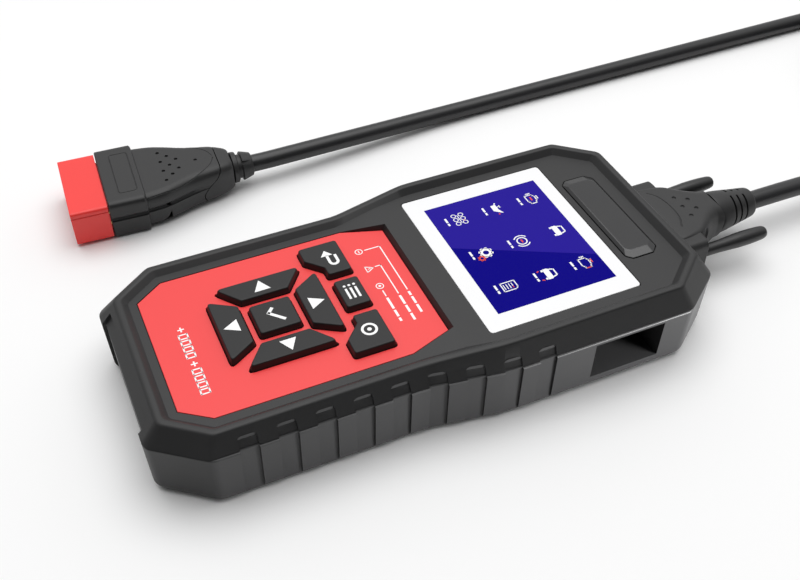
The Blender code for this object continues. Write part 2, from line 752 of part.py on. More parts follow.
def cap_cutter(shift):
    """The curved region behind the split between the hood halves and the rear cap."""
    edge = [(60.5, 12.0), (60.0, 6.5), (58.0, 3.0), (54.5, 0.0), (52.2, -3.0), (52.6, -5.6), (56.0, -12.0)]
    profile = [(s + shift, z) for s, z in edge] + [(80.0, -12.0), (80.0, 12.0)]
    return loft("cap_region", [[(x, s, z) for s, z in profile] for x in (-30.0, 30.0)])


def build_plug_hood():
    hollow = box("hollow", (-15.2, 15.2), (10.0, 38.0), (-6.4, 6.4))
    waist = box("waist", (-8.0, 8.0), (30.0, 57.0), (-5.2, 5.2))
    bore = turned("bore", [(0.0, 5.3), (40.0, 5.3)], (0, 40.0, 0), (0, 1, 0), 16)
    body = cut(plug_body(), hollow, waist, bore)
    cap = keep(copy_of(body, "cap"), cap_cutter(GAP))
    halves = cut(body, cap_cutter(0.0))
    top = keep(copy_of(halves, "top"), box("above", (-40, 40), (-10, 90), (0.15, 30)))
    bottom = keep(halves, box("below", (-40, 40), (-10, 90), (-30, -0.15)))
    dimples = []
    rows = (
        (38.6, (-9.4, -3.1, 3.1, 9.4)),
        (41.7, (-6.2, 0.0, 6.2)),
        (44.8, (-3.1, 3.1)),
        (52.0, (0.0,)),
    )
    for s, row in rows:
        for x in row:
            dimples.append(turned("dimple", [(0.0, 0.7), (3.0, 0.7)], (x, s, 7.4), (0, 0, 1), 6))
    finish(plug_place(cut(top, *dimples)), "obd_hood_top", "hood_black")
    finish(plug_place(bottom), "obd_hood_bottom", "hood_black")
    finish(plug_place(cap), "obd_rear_cap", "hood_black")


def build_plug_block():
    """The red insulator: a drafted shroud round a tongue that carries both contact rows."""
    def ring(s, grow):
        corners = [(-16.9 - grow, -8.0 - grow), (16.9 + grow, -8.0 - grow),
                   (18.3 + grow, 8.0 + grow), (-18.3 - grow, 8.0 + grow)]
        return [(x, s, z) for x, z in rounded(corners, 1.4, 2)]
    body = loft("obd_plug_block", [ring(0.0, -0.25), ring(0.3, 0.0), ring(14.2, 0.0)])
    spigot = box("spigot", (-14.6, 14.6), (14.0, 20.0), (-5.9, 5.9))
    well = loft("well", [ring(-1.0, -1.3), ring(11.5, -1.3)])
    body = cut(join(body, spigot), well)
    tongue = box("tongue", (-15.0, 15.0), (1.2, 12.0), (-2.3, 2.3))
    body = join(body, tongue)
    slots = []
    for row in (1, -1):
        for k in range(CONTACTS):
            x = (k - (CONTACTS - 1) / 2) * CONTACT_PITCH
            z = (1.7, 3.3) if row > 0 else (-3.3, -1.7)
            slots.append(box("slot", (x - 1.05, x + 1.05), (1.8, 22.0), z))
    finish(plug_place(cut(body, *slots)), "obd_plug_block", "plug_red")


def build_plug_contacts():
    """Each row of eight blades is one comb, its blades joined by a strip behind the block."""
    for name, low in (("obd_contacts_upper", 2.05), ("obd_contacts_lower", -2.95)):
        half = (CONTACTS - 1) / 2 * CONTACT_PITCH + 0.7
        outline = [(half, 20.6), (half, 23.0), (-half, 23.0)]
        for k in range(CONTACTS):
            x = (k - (CONTACTS - 1) / 2) * CONTACT_PITCH
            if k > 0:
                outline.append((x - 0.7, 20.6))
            outline.append((x - 0.7, 2.6))
            outline.append((x + 0.7, 2.6))
            if k < CONTACTS - 1:
                outline.append((x + 0.7, 20.6))
        comb = prism(name, outline, low, low + 0.9)
        finish(plug_place(comb), name, "brass")


def build_plug_strain_relief():
    profile = [
        (62.0, 4.9), (66.0, 4.9), (66.1, 6.4), (68.2, 6.2), (68.3, 4.9),
        (69.9, 4.9), (70.0, 6.0), (74.0, 4.8), (74.5, 4.4),
    ]
    sleeve = turned("obd_strain_relief", profile, (0, 0, 0), (0, 1, 0), 16)
    bore = turned("bore", [(50.0, 3.95), (80.0, 3.95)], (0, 0, 0), (0, 1, 0), 16)
    notches = []
    for angle in (45, 135, 225, 315):
        notch = box("notch", (-0.8, 0.8), (69.0, 80.0), (5.0, 9.0))
        notch.data.transform(Matrix.Rotation(math.radians(angle), 4, "Y"))
        notches.append(notch)
    finish(plug_place(cut(sleeve, bore, *notches)), "obd_strain_relief", "hood_black")


# ---------------------------------------------------------------- cable
def plug_point(s, z=0.0):
    along = Vector((math.sin(PLUG_YAW), math.cos(PLUG_YAW), 0.0))
    return PLUG_ORIGIN + along * s + Vector((0, 0, z))


def smooth_route(route, spacing):
    """Points on a Catmull-Rom curve through the route, about spacing apart."""
    ends = [route[0] * 2 - route[1]] + list(route) + [route[-1] * 2 - route[-2]]
    made = []
    for i in range(1, len(ends) - 2):
        a, b, c, d = ends[i - 1], ends[i], ends[i + 1], ends[i + 2]
        pieces = max(1, round((c - b).length / spacing))
        for k in range(pieces):
            t = k / pieces
            spot = 2 * b + (c - a) * t + (2 * a - 5 * b + 4 * c - d) * t ** 2
            spot += (3 * b - a - 3 * c + d) * t ** 3
            made.append(spot * 0.5)
    made.append(ends[-2])
    return made


def tube(name, route, spacing, look):
    curve = bpy.data.curves.new(name, "CURVE")
    curve.dimensions = "3D"
    curve.bevel_depth = CABLE_R * MM
    curve.bevel_resolution = 2
    curve.use_fill_caps = True
    spots = smooth_route([Vector(p) for p in route], spacing)
    line = curve.splines.new("POLY")
    line.points.add(len(spots) - 1)
    for point, spot in zip(line.points, spots):
        point.co = (*(spot * MM), 1.0)
    made = bpy.data.objects.new(name, curve)
    bpy.context.scene.collection.objects.link(made)
    curve.materials.append(MATERIALS[look])
    return made


def device_route():
    """From the 15-way plug straight out, down to the floor and alongside the coil."""
    cx, cy = COIL_CENTRE
    side = cx + COIL_R + COIL_HALF + CABLE_R + 0.4
    return [
        (0.0, 134.0, HOOD_Z), (0.0, 148.0, HOOD_Z), (0.0, 163.0, HOOD_Z - 0.1),
        (-0.3, 178.0, 12.8), (-1.8, 198.0, 9.8), (-4.8, 218.0, 6.2), (-8.6, 238.0, 4.1),
        (side + 1.6, cy - 32.0, 3.7), (side, cy - 12.0, 3.7), (side, cy, 3.7),
    ]


def plug_route():
    """From beside the coil along the floor to the vehicle plug, rising into it."""
    cx, cy = COIL_CENTRE
    side = cx - COIL_R - COIL_HALF - CABLE_R - 0.4
    tail = plug_point(64.5)
    lead = plug_point(78.0)
    return [
        (side, cy + 2.0, 3.7), (side, cy - 10.0, 3.7), (-116.7, 262.0, 3.7), (-116.0, 194.0, 3.7),
        (-115.5, 144.0, 3.7), (-115.0, 96.0, 3.7), (-113.8, 64.0, 4.4), (-111.3, 36.0, 6.1),
        (-108.7, 10.0, 7.9), (-107.2, -8.0, 8.9), tuple(lead), tuple(tail),
    ]


def build_cable():
    tube("cable_device_side", device_route(), 14.0, "cable_black")
    tube("cable_plug_side", plug_route(), 15.0, "cable_black")
    rise = COIL_HALF + 1.1
    section = soft_rect(COIL_HALF, -COIL_HALF, COIL_HALF, 5.0, 2)
    rings = []
    steps = 40
    for i in range(steps):
        angle = 2 * math.pi * i / steps
        across, ahead = math.cos(angle), math.sin(angle)
        rings.append([
            (COIL_CENTRE[0] + (COIL_R + r) * across, COIL_CENTRE[1] + (COIL_R + r) * ahead, rise + z)
            for r, z in section
        ])
    count = len(section)
    points = [p for ring in rings for p in ring]
    faces = []
    for i in range(steps):
        j = (i + 1) % steps
        for k in range(count):
            m = (k + 1) % count
            faces.append((i * count + k, i * count + m, j * count + m, j * count + k))
    finish(solid("cable_coil", points, faces), "cable_coil", "cable_black", True)
    outer = soft_rect(8.7, 0.1, 16.6, 5.0, 2)
    inner = soft_rect(7.6, 0.95, 15.7, 4.6, 2)
    x, y = COIL_CENTRE[0], COIL_CENTRE[1] + COIL_R
    band = loft("cable_tie", [
        [(x - 2.0, y + r, z) for r, z in outer], [(x + 2.0, y + r, z) for r, z in outer],
    ])
    eye = loft("eye", [
        [(x - 3.0, y + r, z) for r, z in inner], [(x + 3.0, y + r, z) for r, z in inner],
    ])
    finish(cut(band, eye), "cable_tie", "hood_black")


def main():
    clear_scene()
    make_materials()
    build_upper_shell()
    build_lower_shell()
    build_face_pieces()
    build_keys()
    build_inside()
    build_usb_socket()
    build_db15_socket()
    build_db15_plug_shell()
    build_db15_hood()
    build_db15_strain_relief()
    build_thumbscrews()
    build_plug_hood()
    build_plug_block()
    build_plug_contacts()
    build_plug_strain_relief()
    build_cable()


main()
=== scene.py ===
"""Looks of the OBD code reader: camera, lights, floor, and a detailed piece for each part.

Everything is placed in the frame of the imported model: the housing's underside is at
z = 0, +Y runs towards the cable end and +X is the user's right. Sizes are written in
millimetres, and MM turns them into metres.
"""

import math

import bmesh
import bpy
from mathutils import Matrix, Vector


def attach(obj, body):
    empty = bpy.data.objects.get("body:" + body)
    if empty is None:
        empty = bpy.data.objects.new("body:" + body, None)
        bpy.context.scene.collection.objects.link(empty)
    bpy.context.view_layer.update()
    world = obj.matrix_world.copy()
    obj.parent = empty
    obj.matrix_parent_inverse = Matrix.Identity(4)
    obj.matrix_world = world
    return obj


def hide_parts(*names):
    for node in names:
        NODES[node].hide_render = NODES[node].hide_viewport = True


MM = 0.001
GAP = 0.3
UP = (0, 0, 1)
AFT = (0, 1, 0)
SHARP_ANGLE = math.radians(32.0)
CORNER_REACH = 0.49

# Materials: scale of the broad mottling, its share against the grain, and the range of gloss
CLOUD_SCALE = 90.0
CLOUD_SHARE = 0.6
GLOSS_SPREAD = 0.05

# Housing in plan: half length, half widths, and where the corners and the flare lie
END_Y = 99.4
SIDE_KEYPAD = 43.3
SIDE_SCREEN = 47.5
END_LOW_X = 30.7
END_HIGH_X = 35.4
CORNER_LOW_Y = 82.8
CORNER_HIGH_Y = 83.2
RIM_EDGE_KEYPAD = 39.5
RIM_EDGE_SCREEN = 43.8
LEDGE = 0.7
FLARE_LOW_Y = -13.0
FLARE_MID_Y = 3.0
FLARE_HIGH_Y = 14.4
RIM_STEP_Y = (-11.6, 16.2)
PANEL_SHOULDER_Y = -12.6
CEILING_STEP_Y = 15.0
CASE_SCREWS = ((36.4, -75.0), (-36.4, -75.0), (38.6, 79.0), (-38.6, 79.0))

# Housing heights
PARTING_Z = 22.5
RIM_KEYPAD_Z = 28.7
RIM_SCREEN_Z = 30.9
FLOOR_KEYPAD_Z = 26.8
FLOOR_SCREEN_Z = 28.6
CEILING_KEYPAD_Z = 24.4
CEILING_SCREEN_Z = 26.0
BASE_THICK = 2.0
WALL = 2.4

# Keypad, display and badge
PANEL_THICK = 0.7
KEY_TOP_Z = 29.2
KEY_FLARE = 0.5
KEY_CLEAR = 0.3
PAD_CENTRE_Y = -47.4
LED_X = (-19.6, -10.1, -0.8)
LED_Y = -10.2
WINDOW_X = 35.7
WINDOW_Y = (12.8, 69.2)
WINDOW_TOP_Z = 28.65
SCREEN_X = 28.8
SCREEN_Y = (19.0, 63.8)
BADGE_X = 23.4
BADGE_Y = (72.1, 84.7)
PRINT_THICK = 0.04

# Grip channels
CHANNELS = 9
CHANNEL_FIRST_Y = -67.5
CHANNEL_PITCH = 12.28
CHANNEL_WIDTH = 6.14
CHANNEL_DEPTH = 0.85
CHANNEL_TOP_Z = 26.4

# USB bay in the +X wall
BAY_Y = (45.4, 71.8)
BAY_Z = (5.4, 21.0)
BAY_BACK_X = 29.6

# 15-way connector
SCREW_X = 16.65
SCREW_Z = 13.2
SCREW_FRONT_Y = 95.8
HOOD_Z = 13.7
HOOD_FRONT_Y = 99.8
EAR_BACK_Y = 110.5
HOOD_BACK_Y = 124.6
HOOD_TOP_Z = 21.8
SLOT_Y = (132.9, 135.8, 138.8)

# Vehicle plug: its axis lies at this height and is turned this far from +Y
PLUG_ORIGIN = Vector((-111.0, -97.0, 9.2))
PLUG_YAW = math.radians(3.1)

# Cable and its stored coil
CABLE_R = 3.6
CABLE_Z = 3.7
COIL_CENTRE = (-66.0, 295.0)
COIL_R = 40.0
COIL_SIDE_R = 51.2
COIL_TURNS = 3.5
COIL_STEPS = 20

# Camera: place and direction in metres, focal length and sensor in millimetres
CAMERA_SPOT = (0.23642, -0.10758, 0.26860)
CAMERA_AHEAD = (-0.66302, 0.29286, -0.68894)
CAMERA_LENS = 47.2084
CAMERA_SENSOR = 36.0

# Lights: the dome's strength, and watts and diameters in metres
DOME_STRENGTH = 1.15
OVERHEAD_WATTS = 13.0
OVERHEAD_SIZE = 1.6
SIDE_CARD_WATTS = 3.2
SIDE_CARD_SIZE = 0.12
FLOOR_HALF = 6.0

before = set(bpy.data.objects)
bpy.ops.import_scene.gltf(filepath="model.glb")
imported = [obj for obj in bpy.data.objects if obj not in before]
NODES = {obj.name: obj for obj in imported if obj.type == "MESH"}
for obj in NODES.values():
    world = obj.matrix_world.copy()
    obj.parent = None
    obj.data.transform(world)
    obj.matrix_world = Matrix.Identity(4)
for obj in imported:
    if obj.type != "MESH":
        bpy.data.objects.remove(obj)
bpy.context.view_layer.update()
LOOKS = {}


# -------- materials
def node_maker(tree):
    """A function that adds nodes to tree, with inputs set by order or by name."""
    def add(kind, *values, **settings):
        node = tree.nodes.new("ShaderNode" + kind)
        for key, value in [*settings.items(), *enumerate(values)]:
            if isinstance(key, str) and key not in node.inputs:
                setattr(node, key, value)
            elif isinstance(value, bpy.types.NodeSocket):
                tree.links.new(value, node.inputs[key])
            else:
                node.inputs[key].default_value = value
        return node
    return add


def grained(name, color, roughness, grain=0.35, bump=0.12, mottle=0.12, metallic=0.0,
            specular=0.5, coat=0.0, detail=3.0):
    """A plastic or metal with a fine surface grain, and colour and gloss that vary a little.

    grain is the grain's size in mm, bump its strength, and mottle the share by which
    the colour varies over a few millimetres.
    """
    look = bpy.data.materials.new(name)
    look.use_nodes = True
    add = node_maker(look.node_tree)
    shader = look.node_tree.nodes["Principled BSDF"].inputs
    shader["Metallic"].default_value = metallic
    shader["Specular IOR Level"].default_value = specular
    shader["Coat Weight"].default_value = coat
    shader["Coat Roughness"].default_value = 0.08
    spot = add("TexCoord").outputs["Object"]
    cloud = add("TexNoise", Scale=CLOUD_SCALE, Detail=4.0, Vector=spot).outputs["Fac"]
    fine = add("TexNoise", Scale=1.0 / (grain * MM), Detail=detail, Vector=spot).outputs["Fac"]
    scaled = add("Math", fine, 1.0 - CLOUD_SHARE, operation="MULTIPLY").outputs[0]
    blend = add("Math", cloud, CLOUD_SHARE, scaled, operation="MULTIPLY_ADD").outputs[0]
    tint = add(
        "Mix", data_type="RGBA", Factor=blend,
        A=(*[c * (1.0 - mottle) for c in color], 1.0),
        B=(*[min(c * (1.0 + mottle), 1.0) for c in color], 1.0),
    )
    gloss = add("MapRange", Value=blend, **{
        "To Min": max(roughness - GLOSS_SPREAD, 0.02), "To Max": roughness + GLOSS_SPREAD,
    })
    relief = add("Bump", Strength=bump, Distance=grain * MM * 0.2, Height=fine)
    link = look.node_tree.links.new
    link(tint.outputs["Result"], shader["Base Color"])
    link(gloss.outputs["Result"], shader["Roughness"])
    link(relief.outputs["Normal"], shader["Normal"])
    LOOKS[name] = look


def make_looks():
    grained("housing_black", (0.017, 0.017, 0.0175), 0.46, grain=0.4, bump=0.25, specular=0.42)
    grained("panel_red", (0.86, 0.045, 0.045), 0.42, grain=0.3, bump=0.06, mottle=0.03)
    grained("key_black", (0.013, 0.013, 0.0135), 0.48, grain=0.3, bump=0.12, specular=0.35)
    grained("window_gloss", (0.9, 0.9, 0.91), 0.12, grain=0.6, bump=0.01, mottle=0.01, coat=0.4)
    grained("badge_gloss", (0.012, 0.012, 0.013), 0.22, grain=0.5, bump=0.02, coat=0.2)
    grained("display_glass", (0.002, 0.0, 0.21), 0.14, grain=0.22, bump=0.01, mottle=0.05, specular=0.04)
    # A lighter blue for the painted reflection on the screen: it stands in for light reflected by the glass
    grained("display_painted_reflection", (0.02, 0.01, 0.29), 0.14, grain=0.22, bump=0.01, mottle=0.05, specular=0.04)
    grained("print_white", (0.93, 0.93, 0.93), 0.4, grain=0.2, bump=0.03, mottle=0.02)
    grained("print_red", (0.72, 0.03, 0.02), 0.4, grain=0.2, bump=0.03, mottle=0.03)
    grained("board_green", (0.012, 0.13, 0.045), 0.35, grain=0.8, bump=0.08, mottle=0.2, coat=0.3)
    grained("silicone_grey", (0.3, 0.3, 0.31), 0.7, grain=0.5, bump=0.1)
    grained("ribbon_amber", (0.45, 0.2, 0.04), 0.4, grain=0.9, bump=0.05, mottle=0.1)
    for name, color in (
        ("led_green", (0.05, 0.6, 0.1)), ("led_yellow", (0.8, 0.6, 0.05)), ("led_red", (0.8, 0.03, 0.02)),
    ):
        grained(name, color, 0.15, grain=0.8, bump=0.02, coat=0.5)
    grained("steel", (0.56, 0.56, 0.56), 0.32, grain=0.25, bump=0.12, metallic=1.0)
    grained("tin", (0.62, 0.62, 0.6), 0.3, grain=0.3, bump=0.1, metallic=1.0)
    grained("brass", (0.78, 0.56, 0.24), 0.28, grain=0.25, bump=0.08, metallic=1.0)
    grained("plug_red", (0.9, 0.04, 0.035), 0.36, grain=0.35, bump=0.08, mottle=0.03)
    grained("hood_black", (0.018, 0.018, 0.0185), 0.46, grain=0.35, bump=0.25, specular=0.45)
    grained("screw_black", (0.014, 0.014, 0.0145), 0.34, grain=0.3, bump=0.08)
    grained("cable_black", (0.014, 0.014, 0.015), 0.34, grain=0.5, bump=0.1, mottle=0.15)
    grained("strap_black", (0.02, 0.02, 0.021), 0.85, grain=0.5, bump=0.9, mottle=0.3, detail=5.0)


# -------- building blocks
def placed(name, data):
    """A new object in the scene that holds data."""
    made = bpy.data.objects.new(name, data)
    bpy.context.scene.collection.objects.link(made)
    return made


def solid(name, points, faces):
    """One mesh object from points in mm and faces, with its normals facing out."""
    mesh = bpy.data.meshes.new(name)
    mesh.from_pydata([Vector(p) * MM for p in points], [], faces)
    work = bmesh.new()
    work.from_mesh(mesh)
    bmesh.ops.recalc_face_normals(work, faces=work.faces)
    work.to_mesh(mesh)
    work.free()
    return placed(name, mesh)


def sides(rings, closed=False):
    count = len(rings[0])
    faces = []
    last = len(rings) if closed else len(rings) - 1
    for level in range(last):
        low = level * count
        high = (level + 1) % len(rings) * count
        for i in range(count):
            j = (i + 1) % count
            faces.append((low + i, low + j, high + j, high + i))
    return [p for ring in rings for p in ring], faces


def loft(name, rings):
    """A closed body through rings of equal length, with a flat cap at each end."""
    points, faces = sides(rings)
    count = len(rings[0])
    faces.append(tuple(range(count))[::-1])
    last = (len(rings) - 1) * count
    faces.append(tuple(range(last, last + count)))
    return solid(name, points, faces)


def ladder(name, rings):
    """A loft through rings that mirror in X, capped by a ladder of flat strips."""
    points, faces = sides(rings)
    count = len(rings[0])
    for start in (0, (len(rings) - 1) * count):
        for i in range(count // 2 - 1):
            faces.append((start + i, start + i + 1, start + count - 2 - i, start + count - 1 - i))
    return solid(name, points, faces)


def bend(first, middle, last, steps):
    """Points on a curve that leaves first towards middle and reaches last from there."""
    shares = [k / steps for k in range(steps + 1)]
    return [tuple(first * (1 - t) ** 2 + middle * (2 * t * (1 - t)) + last * t ** 2) for t in shares]


def soft_rings(rings, reaches, steps=4):
    """Rounds the corner at each inner ring, starting reach mm before it and ending after it."""
    made = [rings[0]]
    for i, reach in enumerate(reaches, start=1):
        bends = []
        for a, b, c in zip(rings[i - 1], rings[i], rings[i + 1]):
            a, b, c = Vector(a), Vector(b), Vector(c)
            first = b + (a - b).normalized() * min(reach, (a - b).length * CORNER_REACH)
            last = b + (c - b).normalized() * min(reach, (c - b).length * CORNER_REACH)
            bends.append(bend(first, b, last, steps))
        made += zip(*bends)
    made.append(rings[-1])
    return made


def rect(x, y):
    return [(x[0], y[0]), (x[1], y[0]), (x[1], y[1]), (x[0], y[1])]


def moved(outline, x, y):
    return [(x + px, y + py) for px, py in outline]


def flipped(outline):
    return [(-x, y) for x, y in reversed(outline)]


def around(centre, radius, angle):
    return centre[0] + radius * math.cos(angle), centre[1] + radius * math.sin(angle)


def flat(outline, z):
    return [(x, y, z) for x, y in outline]


def upright(outline, y):
    return [(x, y, z) for x, z in outline]


def sideways(outline, x):
    return [(x, y, z) for y, z in outline]


def prism(name, outline, low, high):
    return loft(name, [flat(outline, low), flat(outline, high)])


def box(name, x, y, z):
    return prism(name, rect(x, y), *z)


def turned(name, profile, base, axis, steps=40):
    """A body turned about an axis through base. The profile is (height, radius) pairs."""
    turn = Vector((0, 0, 1)).rotation_difference(Vector(axis)).to_matrix()
    rings = []
    for height, radius in profile:
        ring = []
        for i in range(steps):
            angle = 2 * math.pi * (i + 0.5) / steps
            spot = Vector((radius * math.cos(angle), radius * math.sin(angle), height))
            ring.append(tuple(turn @ spot + Vector(base)))
        rings.append(ring)
    return loft(name, rings)


def drilled(radius, low, high, base, axis, steps=32):
    """A straight round cutter, from low to high along the axis through base."""
    return turned("bore", [(low, radius), (high, radius)], base, axis, steps)


def swept(name, spots, radius, steps=8, closed=False):
    """A round bar of the given radius along spots, its section kept square to the path."""
    spots = [Vector(p) for p in spots]
    last = len(spots) - 1
    rings = []
    for i, spot in enumerate(spots):
        if closed:
            along = (spots[(i + 1) % len(spots)] - spots[i - 1]).normalized()
        else:
            along = (spots[min(i + 1, last)] - spots[max(i - 1, 0)]).normalized()
        across = along.cross(Vector((0, 0, 1))).normalized()
        up = across.cross(along)
        rings.append([
            tuple(spot + across * (radius * math.cos(a)) + up * (radius * math.sin(a)))
            for a in [2 * math.pi * k / steps for k in range(steps)]
        ])
    if closed:
        return solid(name, *sides(rings, True))
    return loft(name, rings)


def combine(target, cutters, operation):
    """Applies one exact Boolean per cutter to the target, then removes the cutters."""
    for cutter in cutters:
        step = target.modifiers.new(operation, "BOOLEAN")
        step.operation = operation
        step.solver = "EXACT"
        step.object = cutter
    graph = bpy.context.evaluated_depsgraph_get()
    result = bpy.data.meshes.new_from_object(target.evaluated_get(graph))
    target.modifiers.clear()
    target.data = result
    for cutter in cutters:
        bpy.data.objects.remove(cutter, do_unlink=True)
    return target


def cut(target, *cutters):
    return combine(target, cutters, "DIFFERENCE")


def join(target, *others):
    return combine(target, others, "UNION")


def keep(target, *others):
    return combine(target, others, "INTERSECT")


def copy_of(source, name):
    return placed(name, source.data.copy())


def show(piece, name, look, slot=None, body="root", stands_for=()):
    """Names and finishes a piece, and hands it to the frame. The slot is worked out but not used."""
    slot = slot or look
    piece.name = name
    piece.data.name = name
    piece.data.materials.clear()
    piece.data.materials.append(LOOKS[look])
    if piece.type == "MESH":
        piece.data.polygons.foreach_set("use_smooth", [True] * len(piece.data.polygons))
        piece.data.set_sharp_from_angle(angle=SHARP_ANGLE)
        piece.modifiers.new("even_normals", "WEIGHTED_NORMAL").keep_sharp = True
    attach(piece, body)
    if stands_for:
        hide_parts(*stands_for)


# -------- plan outlines
def inset(outline, distance):
    """Moves every edge of a counter-clockwise outline inwards and joins them again."""
    edges = []
    for i, start in enumerate(outline):
        end = outline[(i + 1) % len(outline)]
        along = Vector((end[0] - start[0], end[1] - start[1])).normalized()
        shift = Vector((-along.y, along.x)) * distance
        edges.append((Vector(start) + shift, along))
    moved = []
    for i, (spot, along) in enumerate(edges):
        before, direction = edges[i - 1]
        cross = direction.x * along.y - direction.y * along.x
        if abs(cross) < 1e-4:
            moved.append(tuple(spot))
            continue
        gap = spot - before
        reach = (gap.x * along.y - gap.y * along.x) / cross
        moved.append(tuple(before + direction * reach))
    return moved


def rounded(outline, radius, steps=5):
    """Replaces each corner by an arc. A nearly straight corner gets a much wider one."""
    made = []
    for i, corner in enumerate(outline):
        spot = Vector(corner)
        back = Vector(outline[i - 1]) - spot
        ahead = Vector(outline[(i + 1) % len(outline)]) - spot
        half = back.angle(ahead) / 2
        if half > math.radians(89):
            made.append(tuple(spot))
            continue
        wide = 12.0 if half > math.radians(75) else 1.0
        reach = min(radius * wide / math.tan(half), back.length * 0.45, ahead.length * 0.45)
        first = spot + back.normalized() * reach
        last = spot + ahead.normalized() * reach
        made += bend(first, spot, last, steps)
    return made


def mirrored(right_side):
    return right_side + flipped(right_side)


def ramp(low_y, high_y, low_z, high_z):
    """A function of y that goes from low_z to high_z between low_y and high_y."""
    def height(y):
        share = min(max((y - low_y) / (high_y - low_y), 0.0), 1.0)
        return low_z + (high_z - low_z) * share
    return height


def level(z):
    return lambda y: z


# The side's half width, how far the sloped band leans in above it, and three heights
side_x = ramp(FLARE_LOW_Y, FLARE_HIGH_Y, SIDE_KEYPAD, SIDE_SCREEN)
band_run = ramp(FLARE_LOW_Y, FLARE_HIGH_Y, SIDE_KEYPAD - RIM_EDGE_KEYPAD, SIDE_SCREEN - RIM_EDGE_SCREEN)
rim_z = ramp(*RIM_STEP_Y, RIM_KEYPAD_Z, RIM_SCREEN_Z)
floor_z = ramp(PANEL_SHOULDER_Y, FLARE_MID_Y, FLOOR_KEYPAD_Z, FLOOR_SCREEN_Z)
ceiling_z = ramp(FLARE_MID_Y, CEILING_STEP_Y, CEILING_KEYPAD_Z, CEILING_SCREEN_Z)


def raised(outline, height, radius=4.0):
    """The outline with rounded corners, each point at height(y)."""
    return [(x, y, height(y)) for x, y in rounded(outline, radius)]


def housing_outline(side_keypad, side_screen):
    """The parting outline, with the side walls pushed out to the given half widths."""
    slope_low = (CORNER_LOW_Y - END_Y) / (SIDE_KEYPAD - END_LOW_X)
    slope_high = (END_Y - CORNER_HIGH_Y) / (SIDE_SCREEN - END_HIGH_X)
    low_y = -END_Y - slope_low * (side_keypad - END_LOW_X)
    high_y = END_Y - slope_high * (side_screen - END_HIGH_X)
    share = (FLARE_MID_Y - FLARE_LOW_Y) / (FLARE_HIGH_Y - FLARE_LOW_Y)
    middle_x = side_keypad + (side_screen - side_keypad) * share
    return mirrored([
        (END_LOW_X, -END_Y), (side_keypad, low_y), (side_keypad, FLARE_LOW_Y),
        (middle_x, FLARE_MID_Y), (side_screen, FLARE_HIGH_Y), (side_screen, high_y),
        (END_HIGH_X, END_Y),
    ])


def rim_outline():
    """The inner edge of the raised rim round the top."""
    return mirrored([
        (27.6, -91.8), (37.4, -79.0), (37.4, RIM_STEP_Y[0]), (39.7, FLARE_MID_Y),
        (41.8, RIM_STEP_Y[1]), (41.8, 79.1), (31.0, 91.8),
    ])


def panel_outline():
    return mirrored([(25.1, -86.8), (31.9, -77.4), (31.9, PANEL_SHOULDER_Y), (27.0, 1.9)])


def window_outline():
    return mirrored([(WINDOW_X, WINDOW_Y[0]), (WINDOW_X, WINDOW_Y[1])])


def badge_outline():
    low, high = BADGE_Y
    return mirrored([
        (BADGE_X - 2.0, low), (BADGE_X, low + 2.0), (BADGE_X, high - 2.5), (BADGE_X - 2.5, high),
    ])


def key_outlines():
    """Top-face outlines of the eight keys, counter-clockwise."""
    y = PAD_CENTRE_Y
    side = [(10.4, y - 8.1), (18.65, y - 14.5), (18.65, y + 14.5), (10.4, y + 8.1)]
    upper = [(-8.5, y + 10.0), (8.5, y + 10.0), (13.9, y + 18.8), (-13.9, y + 18.8)]
    corner = [
        (10.7, -24.6), (14.45, -24.6), (20.15, -30.0),
        (26.45, -30.0), (26.45, -16.3), (10.7, -16.3),
    ]
    return {
        "key_ok": rect((-6.5, 6.5), (y - 6.8, y + 6.8)),
        "key_right": side,
        "key_left": flipped(side),
        "key_up": upper,
        "key_down": [(px, 2 * y - py) for px, py in reversed(upper)],
        "key_readiness": rect((-6.5, 6.5), (-24.6, -16.3)),
        "key_help": corner,
        "key_back": flipped(corner),
    }


def key_holes():
    """A cutter for each key's hole in the panel and in the shell under it."""
    grow = -KEY_FLARE - KEY_CLEAR
    return [prism("key_hole", rounded(inset(outline, grow), 1.4, 3), 20.0, 30.0)
            for outline in key_outlines().values()]


# -------- housing
def channel_spans():
    """Each grip channel as its side of the housing, its low Y and its high Y."""
    highs = [CHANNEL_FIRST_Y + CHANNEL_PITCH * k for k in range(CHANNELS)]
    return [(side, high - CHANNEL_WIDTH, high) for side in (1, -1) for high in highs]


def channel_end(y):
    """How the sloping band leans at y, and the X of a channel's upright run-out there."""
    lean = band_run(y) / (rim_z(y) - PARTING_Z)
    return lean, side_x(y) - lean * (CHANNEL_TOP_Z - PARTING_Z) + 0.1


def channel_cutters():
    """One cutter per grip channel, with a rounded upper end."""
    made = []
    for side, low, high in channel_spans():
        rings = []
        for y in (low, high):
            wall = side_x(y)
            lean, end_x = channel_end(y)
            profile = [
                (wall + LEDGE - CHANNEL_DEPTH - 0.7, -1.0),
                (wall + LEDGE - CHANNEL_DEPTH, PARTING_Z - 0.2),
                (wall - CHANNEL_DEPTH * 0.9, PARTING_Z),
                (end_x, CHANNEL_TOP_Z - (CHANNEL_DEPTH * 0.9 + 0.1) / lean),
                (end_x, CHANNEL_TOP_Z + 0.4),
                (end_x + 0.8, CHANNEL_TOP_Z + 0.9),
                (wall + 3.0, CHANNEL_TOP_Z + 0.9),
                (wall + 3.0, -1.0),
            ]
            rings.append([(side * px, y, pz) for px, pz in profile])
        face = rounded(rect((low, high), (-40.0, CHANNEL_TOP_Z + 0.1)), 1.6, 4)
        window = loft("window", [sideways(face, side * 30.0), sideways(face, side * 55.0)])
        made.append(keep(loft("channel", rings), window))
    return made


